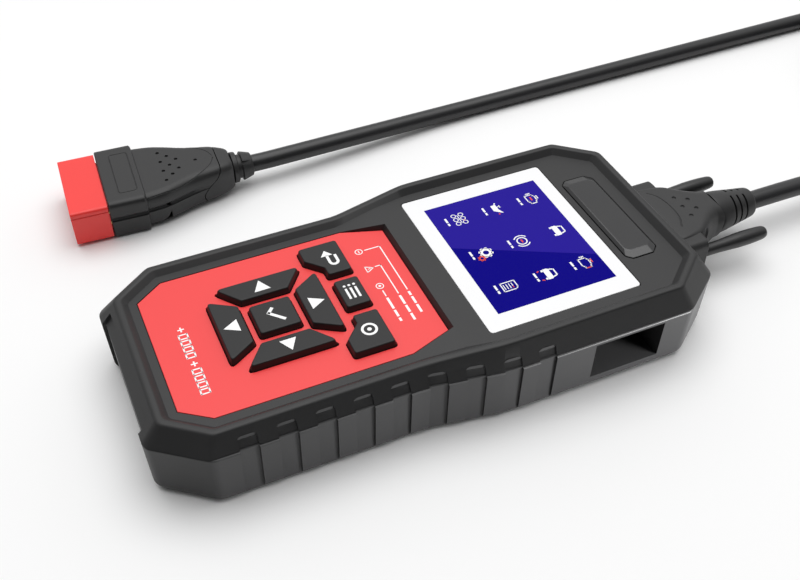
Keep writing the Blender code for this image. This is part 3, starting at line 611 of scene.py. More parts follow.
def make_channel_ends():
    """The upright facet at each grip channel's run-out, 0.1 mm proud of it."""
    foot, top = CHANNEL_TOP_Z - 1.5, CHANNEL_TOP_Z - 0.15
    ends = []
    for side, low, high in channel_spans():
        rings = []
        for y, drop in (
            (low + 0.15, 1.1), (low + 0.6, 0.45), (low + 1.3, 0.1),
            (high - 1.3, 0.1), (high - 0.6, 0.45), (high - 0.25, 1.1),
        ):
            end_x = channel_end(y)[1]
            section = ((-0.3, foot), (0.1, foot), (0.1, top - drop), (-0.3, top - drop - 0.1))
            rings.append([(side * (end_x + dx), y, z) for dx, z in section])
        ends.append(loft("channel_end", rings))
    show(join(*ends), "channel_ends", "housing_black")


def end_recess_cutter():
    """The shallow recess across the -Y end."""
    depth = 1.3
    lean = 5.6 / (RIM_KEYPAD_Z - PARTING_Z)
    top = 25.8
    profile = [
        (-END_Y + depth + 0.5, -1.0), (-END_Y + depth, PARTING_Z),
        (-END_Y + lean * (top - PARTING_Z) + depth, top),
        (-END_Y + lean * (top - PARTING_Z) + depth - 0.6, top + 0.5),
        (-END_Y - 3.0, top + 0.9), (-END_Y - 3.0, -1.0),
    ]
    return loft("end_recess", [sideways(profile, -25.0), sideways(profile, 25.0)])


def make_upper_shell():
    parting = housing_outline(SIDE_KEYPAD, SIDE_SCREEN)
    inner = rim_outline()
    shell = ladder("shell", soft_rings([
        raised(parting, level(PARTING_Z), 5.0),
        raised(inset(inner, -2.0), rim_z, 4.0),
        raised(inner, rim_z, 3.2),
        raised(inset(inner, 2.1), floor_z, 2.4),
    ], [0.9, 0.55]))
    hollow = ladder("hollow", [
        raised(inset(parting, 2.2), level(PARTING_Z - 1.5)),
        raised(inset(parting, 4.2), ceiling_z),
    ])
    seat = inset(panel_outline(), -GAP)
    pocket = ladder("pocket", [
        flat(seat, FLOOR_KEYPAD_Z - PANEL_THICK - GAP),
        flat(seat, FLOOR_KEYPAD_Z),
        flat(inset(panel_outline(), -GAP - 1.8), FLOOR_KEYPAD_Z + 3.0),
    ])
    shell = cut(
        shell, hollow, pocket,
        prism("window", rounded(inset(window_outline(), -GAP), 1.6), FLOOR_SCREEN_Z - 1.5, 40.0),
        box("view", (-30.6, 30.6), (17.2, 65.6), (20.0, 29.0)),
        prism("badge", rounded(inset(badge_outline(), -GAP), 1.5), FLOOR_SCREEN_Z - 0.7, 40.0),
        end_recess_cutter(), *key_holes(), *channel_cutters(),
    )
    show(shell, "housing_top", "housing_black", stands_for=["upper_shell"])


def make_lower_shell():
    wall = housing_outline(SIDE_KEYPAD + LEDGE, SIDE_SCREEN + LEDGE)
    top = PARTING_Z - GAP
    shell = ladder("shell", soft_rings([
        raised(inset(wall, 5.0), level(0.0), 3.5),
        raised(inset(wall, 2.6), level(0.0), 4.5),
        raised(inset(wall, 0.8), level(2.8), 5.0),
        raised(wall, level(top), 5.0),
        raised(inset(wall, 1.6), level(top), 5.0),
    ], [1.6, 1.4, 0.75], 5))
    hollow = ladder("hollow", [
        raised(inset(wall, WALL + 0.9), level(BASE_THICK)),
        raised(inset(wall, WALL + 0.1), level(PARTING_Z + 1.0)),
    ])
    block = box("block", (BAY_BACK_X - 2.0, 46.6), (BAY_Y[0] - 1.6, BAY_Y[1] + 1.6), (1.5, 21.9))
    shell = join(cut(shell, hollow), block)
    cutters = [
        box("bay", (BAY_BACK_X, 52.0), BAY_Y, BAY_Z),
        box("plug_way", (-13.8, 13.8), (94.0, 102.0), (SCREW_Z - 5.8, SCREW_Z + 5.8)),
        end_recess_cutter(),
    ]
    cutters += [drilled(3.3, 0.0, 8.0, (x, 94.5, SCREW_Z), AFT, 24) for x in (-SCREW_X, SCREW_X)]
    cutters += [drilled(3.1, -1.0, 3.2, (x, y, 0), UP, 24) for x, y in CASE_SCREWS]
    shell = cut(shell, *cutters, *channel_cutters())
    show(shell, "housing_base", "housing_black", stands_for=["lower_shell"])


# -------- printed marks
class Print:
    """Flat marks of one colour, collected as outlines and made into one thin piece."""

    def __init__(self, base_z):
        self.base_z = base_z
        self.outlines = []

    def area(self, *outline):
        self.outlines.append(outline)

    def bar(self, start, end, width):
        start, end = Vector(start), Vector(end)
        along = (end - start).normalized()
        side = Vector((-along.y, along.x)) * width / 2
        self.area(start - side, end - side, end + side, start + side)

    def bars(self, x, y, *rows):
        """Bars round (x, y). Each row is a start, an end and a width."""
        for ax, ay, bx, by, width in rows:
            self.bar((x + ax, y + ay), (x + bx, y + by), width)

    def disc(self, centre, radius, steps=20):
        self.area(*[around(centre, radius, 2 * math.pi * k / steps) for k in range(steps)])

    def arc(self, centre, radius, width, start=0.0, end=360.0, steps=24):
        """A band round centre, between two angles in degrees. A whole ring is made in halves."""
        parts = 2 if end - start > 300.0 else 1
        for part in range(parts):
            low = math.radians(start + (end - start) * part / parts)
            high = math.radians(start + (end - start) * (part + 1) / parts)
            angles = [low + (high - low) * k / steps for k in range(steps + 1)]
            outer = [around(centre, radius + width / 2, a) for a in angles]
            inner = [around(centre, radius - width / 2, a) for a in reversed(angles)]
            self.area(*outer, *inner)

    def frame(self, outline, width):
        for i, start in enumerate(outline):
            self.bar(start, outline[(i + 1) % len(outline)], width)
            self.disc(start, width / 2, 10)

    def dashes(self, start, lengths, gap, width):
        """A row of blank dashes that stands for a line of words."""
        spot = Vector(start)
        for length in lengths:
            self.bar(spot, spot + Vector((length, 0.0)), width)
            spot += Vector((length + gap, 0.0))

    def make(self, name, look="print_white", slot="window_gloss", body="root"):
        points, faces = [], []
        for outline in self.outlines:
            first, count = len(points), len(outline)
            points += flat(outline, self.base_z) + flat(outline, self.base_z + PRINT_THICK)
            faces.append(tuple(range(first, first + count))[::-1])
            faces.append(tuple(range(first + count, first + 2 * count)))
            for i in range(count):
                j = (i + 1) % count
                faces.append((first + i, first + j, first + count + j, first + count + i))
        show(solid(name, points, faces), name, look, slot, body)


# -------- keypad
def make_panel():
    outline = panel_outline()
    panel = loft("panel", soft_rings([
        flat(outline, FLOOR_KEYPAD_Z - PANEL_THICK),
        flat(outline, FLOOR_KEYPAD_Z),
        flat(inset(outline, 0.5), FLOOR_KEYPAD_Z),
    ], [0.2]))
    show(cut(panel, *key_holes()), "keypad_panel", "panel_red", stands_for=["keypad_overlay"])


def make_keys():
    for name, outline in key_outlines().items():
        base = rounded(inset(outline, -KEY_FLARE), 1.3)
        cap = loft(name, soft_rings([
            flat(base, CEILING_KEYPAD_Z),
            flat(base, FLOOR_KEYPAD_Z - 0.1),
            flat(rounded(outline, 1.0), KEY_TOP_Z),
            flat(rounded(inset(outline, 1.1), 0.5), KEY_TOP_Z),
        ], [0.4, 0.5]))
        show(cap, name + "_cap", "key_black", body=name, stands_for=[name])


def draw_arrow(marks, apex, base, half_width):
    """A filled triangle from the middle of its base to its apex."""
    side = Vector((base[1] - apex[1], apex[0] - base[0])).normalized() * half_width
    marks.area(apex, Vector(base) + side, Vector(base) - side)


def make_key_marks():
    y = PAD_CENTRE_Y
    z = KEY_TOP_Z - 0.01
    for name, apex, base in (
        ("key_right", (17.3, y), (12.3, y)), ("key_left", (-17.3, y), (-12.3, y)),
        ("key_up", (0.0, y + 17.2), (0.0, y + 12.2)), ("key_down", (0.0, y - 17.2), (0.0, y - 12.2)),
    ):
        marks = Print(z)
        draw_arrow(marks, apex, base, 2.8)
        marks.make(name + "_mark", body=name)
    tick = Print(z)
    tick.bars(0.0, y, (-3.2, 0.1, -0.9, -2.0, 1.1), (-1.35, -2.0, 3.4, 2.6, 1.1))
    tick.make("key_ok_mark", body="key_ok")
    back = Print(z)
    x, low, high = -18.2, -22.0, -19.2
    draw_arrow(back, (x - 4.2, low), (x - 1.4, low), 2.1)
    back.bar((x - 1.6, low), (x + 2.0, low), 1.0)
    back.arc((x + 2.0, -20.6), 1.4, 1.0, -90.0, 90.0, 12)
    back.bar((x + 2.0, high), (x - 1.2, high), 1.0)
    back.make("key_back_mark", body="key_back")
    lines = Print(z)
    for row in (-1.7, 0.0, 1.7):
        lines.disc((-3.0, -20.45 + row), 0.5, 12)
        lines.bar((-1.7, -20.45 + row), (3.4, -20.45 + row), 0.8)
    lines.make("key_readiness_mark", body="key_readiness")
    dot = Print(z)
    dot.arc((18.6, -22.0), 2.3, 0.85)
    dot.disc((18.6, -22.0), 0.75)
    dot.make("key_help_mark", body="key_help")


def make_panel_print():
    marks = Print(FLOOR_KEYPAD_Z - 0.01)
    for x in (-7.7, 8.4):
        marks.bars(x, 0.0, (-1.1, -76.9, -0.25, -76.9, 0.5), (0.25, -76.9, 1.1, -76.9, 0.5),
                   (0.0, -78.0, 0.0, -75.8, 0.5))
        for k in range(4):
            low = x + 2.4 + 2.95 * k
            marks.frame(rect((low, low + 1.9), (-78.3, -75.5)), 0.5)
    left, middle, right = LED_X
    y = LED_Y
    for x in (left, right):
        marks.arc((x, y), 1.25, 0.34)
    marks.bar((left - 0.7, y), (left + 0.7, y), 0.35)
    marks.disc((right, y), 0.5, 12)
    marks.frame([(middle - 1.5, y - 1.1), (middle + 1.5, y - 1.1), (middle, y + 1.5)], 0.34)
    marks.bar((middle, y - 0.5), (middle, y + 0.5), 0.35)
    for start, end in (
        ((left, y + 2.1), (left, -2.2)), ((left - 0.21, -2.4), (4.4, -2.4)),
        ((middle - 0.3, y + 2.2), (middle - 0.3, -5.7)), ((middle - 0.5, -5.9), (5.0, -5.9)),
        ((1.6, y), (4.6, y)),
    ):
        marks.bar(start, end, 0.42)
    marks.dashes((5.4, -2.4), (2.0, 3.4, 3.8), 0.7, 0.85)
    marks.dashes((6.0, -5.9), (4.4, 3.4, 3.2), 0.7, 0.85)
    marks.dashes((5.4, y), (5.6, 3.2, 1.6), 0.7, 0.85)
    marks.make("panel_print")


# -------- display
def make_window():
    corners = window_outline()
    edge = rounded(corners, 1.5)
    window = loft("window", soft_rings([
        flat(edge, FLOOR_SCREEN_Z - 1.2),
        flat(edge, WINDOW_TOP_Z),
        flat(rounded(inset(corners, 0.6), 1.2), WINDOW_TOP_Z),
    ], [0.25]))
    show(window, "window_frame", "window_gloss", stands_for=["display_window"])
    screen = Print(WINDOW_TOP_Z - 0.01)
    screen.area(*rect((-SCREEN_X, SCREEN_X), SCREEN_Y))
    screen.make("screen_face", "display_glass", "display_glass")
    # Painted reflection: a lighter blue zone over the left of the screen stands in for light reflected by
    # the glass
    painted_reflection = Print(WINDOW_TOP_Z + 0.01)
    margin = 0.08
    left, low, high = -SCREEN_X + margin, SCREEN_Y[0] + margin, SCREEN_Y[1] - margin
    painted_reflection.area((left, low), (-6.5, low), (16.5, high), (left, high))
    painted_reflection.make("screen_glint", "display_painted_reflection", "display_glass")


def draw_engine(white, x, y):
    """An engine block seen from the side."""
    white.frame(moved([
        (-2.0, -1.7), (1.4, -1.7), (2.1, -1.0), (2.8, -1.0), (2.8, 1.1), (2.1, 1.1), (1.5, 1.7),
        (-0.9, 1.7), (-1.6, 1.1), (-2.0, 1.1),
    ], x, y), 0.42)
    white.bars(x, y, (-0.9, 2.5, 0.9, 2.5, 0.45), (0.0, 1.7, 0.0, 2.5, 0.45),
               (-2.9, -0.8, -2.9, 1.0, 0.45), (-2.9, 0.1, -2.0, 0.1, 0.45))


def draw_car(white, x, y):
    """A car seen from the front: roof arch, body and two wheels."""
    body = [(-2.6, -1.5), (2.6, -1.5), (2.6, 0.1), (2.1, 0.6), (-2.1, 0.6), (-2.6, 0.1)]
    white.area(*moved(body, x, y))
    white.bars(x, y, (-2.0, 0.6, -1.5, 2.1, 0.5), (2.0, 0.6, 1.5, 2.1, 0.5), (-1.6, 2.2, 1.6, 2.2, 0.5),
               (-2.0, -2.3, -2.0, -1.4, 0.9), (2.0, -2.3, 2.0, -1.4, 0.9))


def draw_can(white, x, y):
    """An oil can with a long spout."""
    can = [(-2.0, -1.4), (1.0, -1.4), (2.9, 0.9), (3.1, 1.6), (0.8, 0.6), (-2.0, 0.6)]
    white.area(*moved(can, x, y))
    white.bars(x, y, (-0.6, 0.6, -0.6, 1.6, 0.4), (-1.3, 1.6, 0.1, 1.6, 0.4), (-3.0, 0.8, -2.0, 0.2, 0.45))


def draw_gear(marks, x, y, radius, teeth):
    marks.arc((x, y), radius * 0.62, radius * 0.42)
    centre = Vector((x, y))
    for k in range(teeth):
        ahead = Vector(around((0.0, 0.0), 1.0, 2 * math.pi * (k + 0.5) / teeth))
        marks.bar(centre + ahead * radius * 0.7, centre + ahead * radius, radius * 0.34)


def draw_icons():
    white = Print(WINDOW_TOP_Z + 0.04)
    red = Print(WINDOW_TOP_Z + 0.045)
    columns = (-19.5, 0.0, 18.5)
    rows = (57.7, 43.4, 28.5)
    left, middle, right = columns
    top, centre, low = rows
    draw_engine(white, left, top)
    red.bars(left, top, (-0.9, 0.0, 1.1, 0.0, 0.6))
    draw_car(white, middle, top)
    draw_engine(white, right, top)
    red.bars(right, top, (-0.8, 2.5, 0.9, 2.5, 0.5), (2.8, -0.8, 2.8, 0.9, 0.5))
    draw_can(white, left, centre)
    red.disc((left + 3.2, centre - 0.2), 0.35, 12)
    white.arc((middle, centre), 1.75, 0.45)
    for start in (-55.0, 125.0):
        white.arc((middle, centre), 2.8, 0.45, start, start + 110.0)
    red.bars(middle, centre, (-0.8, 0.0, 0.8, 0.0, 0.6))
    draw_car(white, right, centre + 0.4)
    red.bars(right, centre, (-2.0, -3.4, -2.4, -2.5, 0.45), (2.0, -3.4, 2.4, -2.5, 0.45))
    for py in (1.6, -1.2):
        for px in (-2.2, 0.0, 2.2):
            white.arc((left + px, low + py), 0.85, 0.3, steps=12)
    white.bars(left, low, (-2.2, 0.2, 2.2, 0.2, 0.3))
    red.disc((left + 1.1, low + 1.6), 0.3, 12)
    draw_gear(white, middle + 0.4, low + 0.6, 2.6, 8)
    draw_gear(red, middle + 2.6, low - 2.0, 1.5, 7)
    sheet = [(-2.0, -2.6), (2.0, -2.6), (2.0, 1.8), (1.2, 2.6), (-2.0, 2.6)]
    white.frame(moved(sheet, right, low), 0.4)
    white.bars(right, low, *[(-1.2, py, 1.2, py, 0.3) for py in (1.2, 0.2, -0.8, -1.8)])
    red.bars(right, low, (0.3, 1.2, 1.2, 1.2, 0.32))
    for x in columns:
        for y in rows:
            if (x, y) != (middle, top):
                white.dashes((x - 2.1, y - 4.6), (2.4, 1.3), 0.5, 0.75)
    white.make("screen_icons")
    red.make("screen_accents", "print_red", "led_red")


def make_badge():
    outline = badge_outline()
    edge = rounded(outline, 1.2)
    low, high = FLOOR_SCREEN_Z, FLOOR_SCREEN_Z + 1.0
    badge = loft("badge", soft_rings([
        flat(edge, low - 0.4),
        flat(edge, low + 0.15),
        [(x * 0.9, y, high) for x, y in rounded(inset(outline, 1.1), 1.2)],
        [(x * 0.86, y, high) for x, y in rounded(inset(outline, 2.2), 0.8)],
    ], [0.35, 0.5]))
    show(badge, "badge_face", "badge_gloss", stands_for=["badge_plate"])


# -------- 15-way plug
def eased(rows, parts):
    """Rows of numbers with smooth in-between rows, on a Catmull-Rom curve."""
    rows = [Vector(row) for row in rows]
    ends = [rows[0]] + rows + [rows[-1]]
    made = []
    for i in range(1, len(ends) - 2):
        a, b, c, d = ends[i - 1], ends[i], ends[i + 1], ends[i + 2]
        for k in range(parts):
            t = k / parts
            row = 2 * b + (c - a) * t + (2 * a - 5 * b + 4 * c - d) * t ** 2
            made.append(tuple((row + (3 * b - a - 3 * c + d) * t ** 3) * 0.5))
    made.append(tuple(rows[-1]))
    return made


def upright_rect(half_width, low, high, radius, steps=6):
    return rounded(rect((-half_width, half_width), (low, high)), radius, steps)


def joint_wave(x, z):
    """How far back the joint between hood and sleeve runs, by where it is on the ring."""
    side = min(abs(x) / 8.3, 1.0)
    return 2.0 * side ** 2 * (0.6 + 0.4 * math.sin((z - 10.0) / 6.0))


def ear_ring(y, grow):
    """A section of the two ears: cut lower corners and round upper ones."""
    half, low, high, corner = 20.5 + grow, 5.6 - grow, 21.0 + grow, 2.8
    outline = [(-half + 1.6, low), (half - 1.6, low), (half, low + 1.6), (half, high - corner)]
    outline += [(half - corner + corner * math.sin(a), high - corner + corner * math.cos(a))
                for a in [math.pi / 2 * (1 - k / 8) for k in range(1, 9)]]
    return upright(outline + flipped(outline[2:]), y)


def make_hood():
    rings = []
    for y, half, low, high in eased([
        (HOOD_FRONT_Y + 0.1, 15.8, 5.6, 21.2), (104.0, 15.6, 5.6, 21.6), (110.8, 15.2, 5.6, 21.7),
        (114.5, 13.2, 5.6, HOOD_TOP_Z), (118.5, 10.6, 5.6, HOOD_TOP_Z), (122.0, 9.1, 5.7, HOOD_TOP_Z),
        (HOOD_BACK_Y, 8.4, 5.8, HOOD_TOP_Z),
    ], 4):
        share = min(max((y - 104.0) / 20.0, 0.0), 1.0)
        outline = upright_rect(half, low, high, 1.6 + 5.6 * share)
        rings.append([(x, y + (joint_wave(x, z) if y > 124.0 else 0.0), z) for x, z in outline])
    ears = [ear_ring(HOOD_FRONT_Y, 0.0), ear_ring(EAR_BACK_Y - 0.7, 0.0), ear_ring(EAR_BACK_Y, -0.6)]
    hood = join(loft("hood", rings), loft("ears", ears))
    arc = eased([(-12.3, 103.9), (-8.4, 106.7), (-2.2, 107.8), (4.4, 107.4), (9.6, 105.0)], 6)
    cutters = [
        box("front", (-19.4, 19.4), (90.0, HOOD_FRONT_Y + 1.75), (SCREW_Z - 6.2, SCREW_Z + 6.2)),
        box("inside", (-12.6, 12.6), (98.0, 112.0), (SCREW_Z - 5.0, SCREW_Z + 5.0)),
        drilled(4.6, 0.0, 30.0, (0, 108.0, HOOD_Z), AFT),
        swept("arc", flat(arc, 21.75), 0.38),
    ]
    cutters += [drilled(2.7, 0.0, 35.0, (x, 95.0, SCREW_Z), AFT) for x in (-SCREW_X, SCREW_X)]
    scoop = [(0.0, 3.4), (8.0, 3.4), (30.0, 3.8)]
    cutters += [turned("scoop", scoop, (x, 115.3, 7.0), UP) for x in (15.9, -15.9)]
    dimple = [(0.0, 0.55), (0.4, 0.85), (2.0, 0.95)]
    for x, y in ((-5.6, 112.0), (0.0, 112.0), (5.6, 112.0), (-2.8, 116.2), (2.8, 116.2)):
        cutters.append(turned("dimple", dimple, (x, y, 21.35), UP, 20))
    show(cut(hood, *cutters), "plug_hood", "hood_black", stands_for=["db15_hood"])


def make_sleeve():
    rings = []
    for height, radius in eased([
        (0.0, 7.9), (0.25, 8.25), (4.0, 8.0), (8.0, 7.4), (12.0, 6.7), (16.0, 6.1),
        (17.7, 5.75), (18.3, 5.3), (18.5, 4.6),
    ], 3):
        ring = []
        for k in range(48):
            x, z = around((0.0, HOOD_Z), radius, 2 * math.pi * (k + 0.5) / 48)
            lag = joint_wave(x, z) * max(1.0 - height / 4.0, 0.0)
            ring.append((x, HOOD_BACK_Y + 0.7 + height + lag, z))
        rings.append(ring)
    base = (0, HOOD_BACK_Y, HOOD_Z)
    cutters = [drilled(4.0, -3.0, 30.0, base, AFT)]
    for y in SLOT_Y:
        for side in (1, -1):
            cutters.append(box("slot", (side * 1.2, side * 12.0), (y - 0.42, y + 0.42),
                               (HOOD_Z - 3.5, HOOD_Z + 12.0)))
    sleeve = cut(loft("sleeve", rings), *cutters)
    core = cut(turned("core", [(3.0, 5.1), (15.5, 4.8)], base, AFT), drilled(4.0, -1.0, 30.0, base, AFT))
    show(join(sleeve, core), "plug_sleeve", "hood_black", stands_for=["db15_strain_relief"])


def make_thumbscrews():
    shaft = [(0.0, 0.9), (0.4, 1.3), (3.4, 1.3), (3.8, 2.25)]
    handle = [(4.4, 2.25), (16.0, 2.25), (22.0, 2.35), (27.0, 2.6), (31.0, 2.83), (36.0, 2.84),
              (39.6, 2.68), (41.8, 2.45), (42.9, 2.0), (43.3, 1.2), (43.4, 0.4)]
    for name, x in (("thumbscrew_near", SCREW_X), ("thumbscrew_far", -SCREW_X)):
        screw = turned(name, shaft + eased(handle, 4), (x, SCREW_FRONT_Y, SCREW_Z), AFT)
        show(screw, name + "_body", "screw_black", body=name, stands_for=[name])


# -------- vehicle plug
def plug_place(target):
    """Moves a piece built along +Y from the plug's own front face to where the plug lies."""
    turn = Matrix.Rotation(-PLUG_YAW, 4, "Z")
    target.data.transform(Matrix.Translation(PLUG_ORIGIN * MM) @ turn)
    return target


def plug_section(s, top, bottom, half_height, radius, groove):
    """A rounded section, wider above than below, with a groove along each side."""
    corners = [(-bottom, -half_height), (bottom, -half_height), (top, half_height), (-top, half_height)]
    outline = rounded(corners, radius)
    steps = 6

    def side_at(z):
        return bottom + (top - bottom) * (z + half_height) / (2 * half_height)
    notch = [(-0.3, 0.0), (0.2, 0.55), (0.9, 0.9), (1.5, 0.7), (2.2, 0.0)]
    right = [(side_at(z) - groove * depth, z) for z, depth in notch]
    return upright(outline[:2 * steps] + right + outline[2 * steps:] + flipped(right), s)


def plug_body():
    collar = [
        (14.6, 18.9, 16.3, 8.8, 2.6, 0.3), (14.95, 19.2, 16.6, 9.1, 2.6, 1.0),
        (28.4, 19.2, 16.6, 9.1, 2.6, 1.0), (28.9, 18.9, 16.3, 8.8, 2.8, 1.0),
    ]
    taper = eased([
        (29.2, 18.1, 15.6, 8.0, 3.4, 1.0), (36.0, 17.2, 14.9, 8.0, 3.6, 1.0),
        (42.0, 15.1, 13.1, 8.0, 3.8, 1.0), (48.0, 12.6, 11.1, 7.9, 4.0, 0.8),
        (54.0, 10.8, 9.6, 7.8, 4.0, 0.3), (59.0, 9.6, 8.6, 7.6, 4.0, 0.0),
        (63.5, 7.9, 7.2, 7.0, 4.0, 0.0), (65.3, 6.9, 6.4, 6.4, 3.8, 0.0), (65.8, 6.3, 5.9, 5.9, 3.6, 0.0),
    ], 4)
    return loft("plug_body", [plug_section(*section) for section in collar + taper])


def cap_cutter(shift):
    """The curved region behind the split between the hood halves and the rear cap."""
    edge = eased([
        (60.5, 12.0), (60.0, 6.5), (58.0, 3.0), (54.5, 0.0), (52.2, -3.0), (52.6, -5.6), (56.0, -12.0),
    ], 4)
    profile = [(s + shift, z) for s, z in edge] + [(80.0, -12.0), (80.0, 12.0)]
    return loft("cap_region", [sideways(profile, -30.0), sideways(profile, 30.0)])


def top_line(body, route, radius, closed=False):
    """A bar that follows route along the top of body, half sunk into it."""
    spots = []
    for x, s in route:
        hit, spot, _, _ = body.ray_cast(Vector((x, s, 40.0)) * MM, Vector((0, 0, -1)))
        if hit:
            spots.append(tuple(spot / MM))
    return swept("line", spots, radius, 8, closed)


def make_plug_hood():
    body = plug_body()
    border = [(17.0, 29.8), (16.3, 34.0), (14.6, 41.0), (11.6, 47.5), (8.4, 53.0), (4.8, 57.0), (0.6, 59.0)]
    lines = [top_line(body, eased([(side * x, s) for x, s in border], 4), 0.2) for side in (1, -1)]
    lines.append(top_line(body, rounded(rect((-12.9, 12.9), (19.7, 26.8)), 1.4, 4), 0.22, True))
    body = cut(body, box("hollow", (-15.2, 15.2), (10.0, 38.0), (-6.4, 6.4)),
               box("waist", (-8.0, 8.0), (30.0, 57.0), (-5.2, 5.2)))
    cap = keep(copy_of(body, "cap"), cap_cutter(GAP + 0.1))
    halves = cut(body, cap_cutter(0.0))
    top = keep(copy_of(halves, "top"), box("above", (-40, 40), (-10, 90), (0.1, 30)))
    bottom = keep(halves, box("below", (-40, 40), (-10, 90), (-30, -0.1)))
    dimple = [(0.0, 0.5), (0.35, 0.72), (3.0, 0.8)]
    rows = ((38.6, (-9.4, -3.1, 3.1, 9.4)), (41.7, (-6.2, 0.0, 6.2)), (44.8, (-3.1, 3.1)), (52.0, (0.0,)))
    for s, row in rows:
        lines += [turned("dimple", dimple, (x, s, 7.3), UP, 16) for x in row]
    for piece, name, node in (
        (cut(top, *lines), "vehicle_plug_top", "obd_hood_top"),
        (bottom, "vehicle_plug_bottom", "obd_hood_bottom"), (cap, "vehicle_plug_cap", "obd_rear_cap"),
    ):
        show(plug_place(piece), name, "hood_black", stands_for=[node])


def block_ring(s, grow):
    corners = [(-16.9 - grow, -8.0 - grow), (16.9 + grow, -8.0 - grow),
               (18.3 + grow, 8.0 + grow), (-18.3 - grow, 8.0 + grow)]
    return upright(rounded(corners, 1.4), s)


def make_plug_block():
    rings = [block_ring(0.0, -0.8), block_ring(0.0, 0.0), block_ring(14.2, 0.0)]
    body = loft("block", soft_rings(rings, [0.35]))
    body = join(body, box("spigot", (-14.6, 14.6), (14.0, 20.0), (-5.9, 5.9)))
    cutters = [loft("well", [block_ring(-1.0, -1.3), block_ring(11.5, -1.3)])]
    edge = 16.9 + 1.4 * (5.6 + 8.0) / 16.0
    for side in (1, -1):
        cutters.append(box("step", (side * (edge - 0.25), side * (edge + 2.0)), (-1.0, 16.0), (5.3, 5.75)))
    body = cut(body, *cutters)
    body = join(body, loft("tongue", [
        upright(upright_rect(15.0 - grow, -2.3 + grow, 2.3 - grow, 0.5, 3), s)
        for s, grow in ((1.2, 0.3), (1.5, 0.0), (12.0, 0.0))
    ]))
    slots = []
    for height in ((1.7, 3.3), (-3.3, -1.7)):
        for k in range(8):
            x = (k - 3.5) * 4.0
            slots.append(box("slot", (x - 1.05, x + 1.05), (1.8, 22.0), height))
    show(plug_place(cut(body, *slots)), "vehicle_plug_block", "plug_red", stands_for=["obd_plug_block"])


def make_plug_relief():
    profile = [
        (62.0, 4.9), (66.0, 4.9), (66.05, 6.0), (66.3, 6.4), (68.0, 6.25), (68.25, 5.9), (68.3, 4.9),
        (69.9, 4.9), (69.95, 5.7), (70.2, 6.0), (72.0, 5.45), (73.8, 4.9), (74.3, 4.65), (74.5, 4.3),
    ]
    cutters = [drilled(3.95, 50.0, 80.0, (0, 0, 0), AFT)]
    for angle in (45, 135, 225, 315):
        notch = box("notch", (-0.8, 0.8), (69.0, 80.0), (5.0, 9.0))
        notch.data.transform(Matrix.Rotation(math.radians(angle), 4, "Y"))
        cutters.append(notch)
    relief = plug_place(cut(turned("relief", profile, (0, 0, 0), AFT), *cutters))
    show(relief, "vehicle_plug_relief", "hood_black", stands_for=["obd_strain_relief"])


# -------- cable
def plug_point(s):
    """A point s along the vehicle plug's axis, from its front face."""
    return tuple(PLUG_ORIGIN + Vector((math.sin(PLUG_YAW), math.cos(PLUG_YAW), 0.0)) * s)


def device_route():
    """From the 15-way plug straight out, then down to the surface and up to the coil."""
    return [
        (0.0, 134.0, HOOD_Z), (0.0, 148.0, HOOD_Z), (0.0, 163.0, HOOD_Z - 0.1),
        (-0.3, 178.0, 12.8), (-1.8, 198.0, 9.8), (-4.8, 218.0, 6.2), (-8.6, 238.0, 4.1),
        (-13.2, 263.0, CABLE_Z), (-14.8, 283.0, CABLE_Z),
    ]


def plug_route():
    """From the coil along the surface, then up into the vehicle plug."""
    return [
        (-117.2, 285.0, CABLE_Z), (-116.7, 262.0, CABLE_Z), (-116.0, 194.0, CABLE_Z),
        (-115.5, 144.0, CABLE_Z), (-115.0, 96.0, CABLE_Z), (-113.8, 64.0, 4.4),
        (-111.3, 36.0, 6.1), (-108.7, 10.0, 7.9), (-107.2, -8.0, 8.9),
        plug_point(78.0), plug_point(64.5),
    ]


def coil_route():
    """A turn outside and one inside it on the surface, then one and a half on top of them.

    The stations are (turns so far, radius, height); the cord eases from each to the next.
    """
    outside, inside = COIL_R + CABLE_R, COIL_R - CABLE_R
    upper = CABLE_Z + 2 * CABLE_R + 0.1
    stations = [
        (0.0, COIL_SIDE_R, CABLE_Z), (0.2, outside, CABLE_Z), (1.0, outside, CABLE_Z),
        (1.2, inside, CABLE_Z), (1.8, inside, CABLE_Z), (2.0, inside, upper), (2.6, inside, upper),
        (2.8, outside, upper), (3.28, outside, upper), (3.39, 49.0, 8.8),
        (COIL_TURNS, COIL_SIDE_R, CABLE_Z),
    ]
    spots = []
    for step in range(round(COIL_TURNS * COIL_STEPS) + 1):
        turn = step / COIL_STEPS
        after = next(i for i, s in enumerate(stations) if s[0] >= turn - 1e-6)
        low, high = stations[max(after - 1, 0)], stations[max(after, 1)]
        share = (turn - low[0]) / (high[0] - low[0])
        share = share * share * (3.0 - 2.0 * share)
        radius = low[1] + (high[1] - low[1]) * share
        angle = 2.0 * math.pi * turn
        spots.append((*around(COIL_CENTRE, radius, angle), low[2] + (high[2] - low[2]) * share))
    return spots


def make_cable():
    route = device_route() + coil_route() + plug_route()
    spots = [Vector(p) * MM for p in eased(route, 4)]
    curve = bpy.data.curves.new("test_cable", "CURVE")
    curve.dimensions = "3D"
    curve.bevel_depth = CABLE_R * MM
    curve.bevel_resolution = 7
    curve.use_fill_caps = True
    line = curve.splines.new("POLY")
    line.points.add(len(spots) - 1)
    for point, spot in zip(line.points, spots):
        point.co = (*spot, 1.0)
    line.use_smooth = True
    cable = placed("test_cable", curve)
    show(cable, "test_cable", "cable_black",
         stands_for=["cable_device_side", "cable_plug_side", "cable_coil"])
    return cable


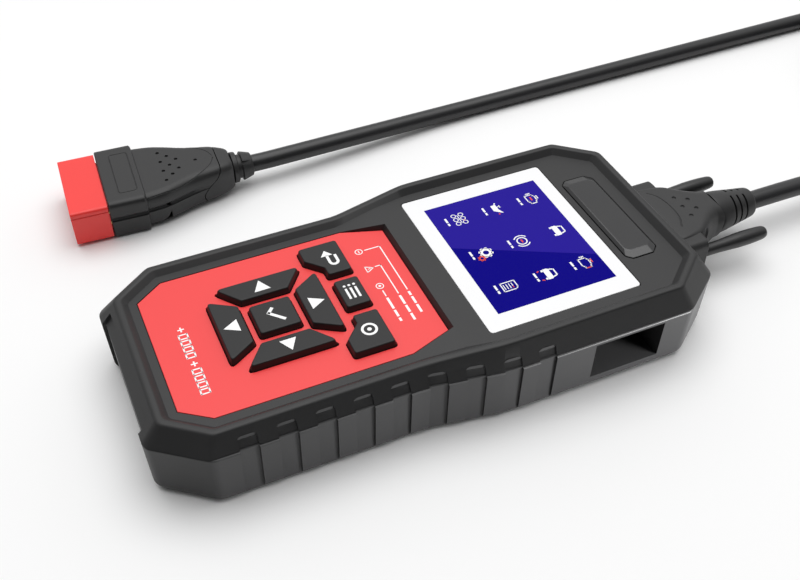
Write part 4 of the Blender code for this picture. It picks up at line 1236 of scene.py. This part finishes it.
def make_tie():
    """A band round the coil's cords at its +Y side."""
    x, y = COIL_CENTRE[0], COIL_CENTRE[1] + COIL_R
    outer = moved(upright_rect(8.7, 0.1, 16.6, 5.0), y, 0.0)
    inner = moved(upright_rect(7.6, 0.95, 15.7, 4.6), y, 0.0)
    band = loft("band", soft_rings([
        sideways(inner, x - 1.2), sideways(outer, x - 2.0),
        sideways(outer, x + 2.0), sideways(inner, x + 1.2),
    ], [0.3, 0.3], 3))
    band = cut(band, loft("eye", [sideways(inner, x - 4.0), sideways(inner, x + 4.0)]))
    show(band, "coil_strap", "strap_black", "hood_black", stands_for=["cable_tie"])


# -------- CAD nodes that stay
def dress_nodes():
    """Gives each CAD node that still shows the detailed material of the same name."""
    kept = {
        "main_board": "board_green", "key_contact_sheet": "silicone_grey", "lcd_module": "display_glass",
        "lcd_ribbon": "ribbon_amber", "buzzer": "key_black", "usb_socket": "tin", "db15_socket": "tin",
        "db15_plug_shell": "steel", "obd_contacts_upper": "brass", "obd_contacts_lower": "brass",
        "status_led_green": "led_green", "status_led_yellow": "led_yellow", "status_led_red": "led_red",
    }
    for number in range(1, 5):
        kept["housing_screw_" + str(number)] = "steel"
    for name, look in kept.items():
        for slot in NODES[name].material_slots:
            slot.material = LOOKS[look]


# -------- camera, lights, floor
def make_camera():
    data = bpy.data.cameras.new("camera")
    data.lens = CAMERA_LENS
    data.sensor_width = CAMERA_SENSOR
    camera = placed("camera", data)
    camera.location = CAMERA_SPOT
    camera.rotation_mode = "QUATERNION"
    camera.rotation_quaternion = Vector(CAMERA_AHEAD).to_track_quat("-Z", "Y")
    bpy.context.scene.camera = camera


def make_floor():
    span = (-FLOOR_HALF, FLOOR_HALF)
    mesh = bpy.data.meshes.new("floor")
    mesh.from_pydata(flat(rect(span, span), 0), [], [(0, 1, 2, 3)])
    floor = placed("floor", mesh)
    look = bpy.data.materials.new("floor_white")
    look.use_nodes = True
    shader = look.node_tree.nodes["Principled BSDF"]
    shader.inputs["Base Color"].default_value = (0.92, 0.92, 0.92, 1.0)
    shader.inputs["Roughness"].default_value = 0.9
    shader.inputs["Specular IOR Level"].default_value = 0.1
    mesh.materials.append(look)


def make_dome():
    """A world that is brightest up and behind the object, and dim elsewhere."""
    world = bpy.data.worlds.new("studio")
    world.use_nodes = True
    add = node_maker(world.node_tree)
    spot = add("TexCoord").outputs["Generated"]
    toward = add("VectorMath", spot, (-0.62, 0.26, 0.74), operation="DOT_PRODUCT").outputs["Value"]
    shade = add("ValToRGB", Fac=toward)
    steps = ((0.0, 0.07), (0.3, 0.3), (0.62, 0.62), (1.0, 0.78))
    for place, value in steps[1:-1]:
        shade.color_ramp.elements.new(place)
    for element, (place, value) in zip(shade.color_ramp.elements, steps):
        element.position = place
        element.color = (value, value, value, 1.0)
    background = world.node_tree.nodes["Background"].inputs
    world.node_tree.links.new(shade.outputs["Color"], background["Color"])
    background["Strength"].default_value = DOME_STRENGTH
    bpy.context.scene.world = world


def aimed_disk(name, size, watts, spot, target):
    """A round area light at spot that faces target, both in metres."""
    data = bpy.data.lights.new(name, "AREA")
    data.shape = "DISK"
    data.size = size
    data.energy = watts
    light = placed(name, data)
    light.location = spot
    aim = Vector(target) - light.location
    light.rotation_mode = "QUATERNION"
    light.rotation_quaternion = aim.to_track_quat("-Z", "Y")
    return light


def make_lights():
    """The dome, a soft light overhead, and a side card that reaches only the near wall's pieces."""
    make_dome()
    aimed_disk("overhead", OVERHEAD_SIZE, OVERHEAD_WATTS, (-0.2, 0.15, 1.3), (-0.02, 0.05, 0.0))
    card = aimed_disk("side_card", SIDE_CARD_SIZE, SIDE_CARD_WATTS, (0.24, 0.24, 0.085), (0.04, 0.03, 0.01))
    reached = bpy.data.collections.new("side_card_reaches")
    for name in ("housing_base", "channel_ends"):
        reached.objects.link(bpy.data.objects[name])
    card.light_linking.receiver_collection = reached
    bpy.context.scene.view_settings.view_transform = "Standard"


make_looks()
make_camera()
cable = make_cable()
make_tie()
make_upper_shell()
make_channel_ends()
make_lower_shell()
make_panel()
make_keys()
make_key_marks()
make_panel_print()
make_window()
draw_icons()
make_badge()
make_hood()
make_sleeve()
make_thumbscrews()
make_plug_hood()
make_plug_block()
make_plug_relief()
dress_nodes()
make_floor()
make_lights()
bpy.context.view_layer.update()
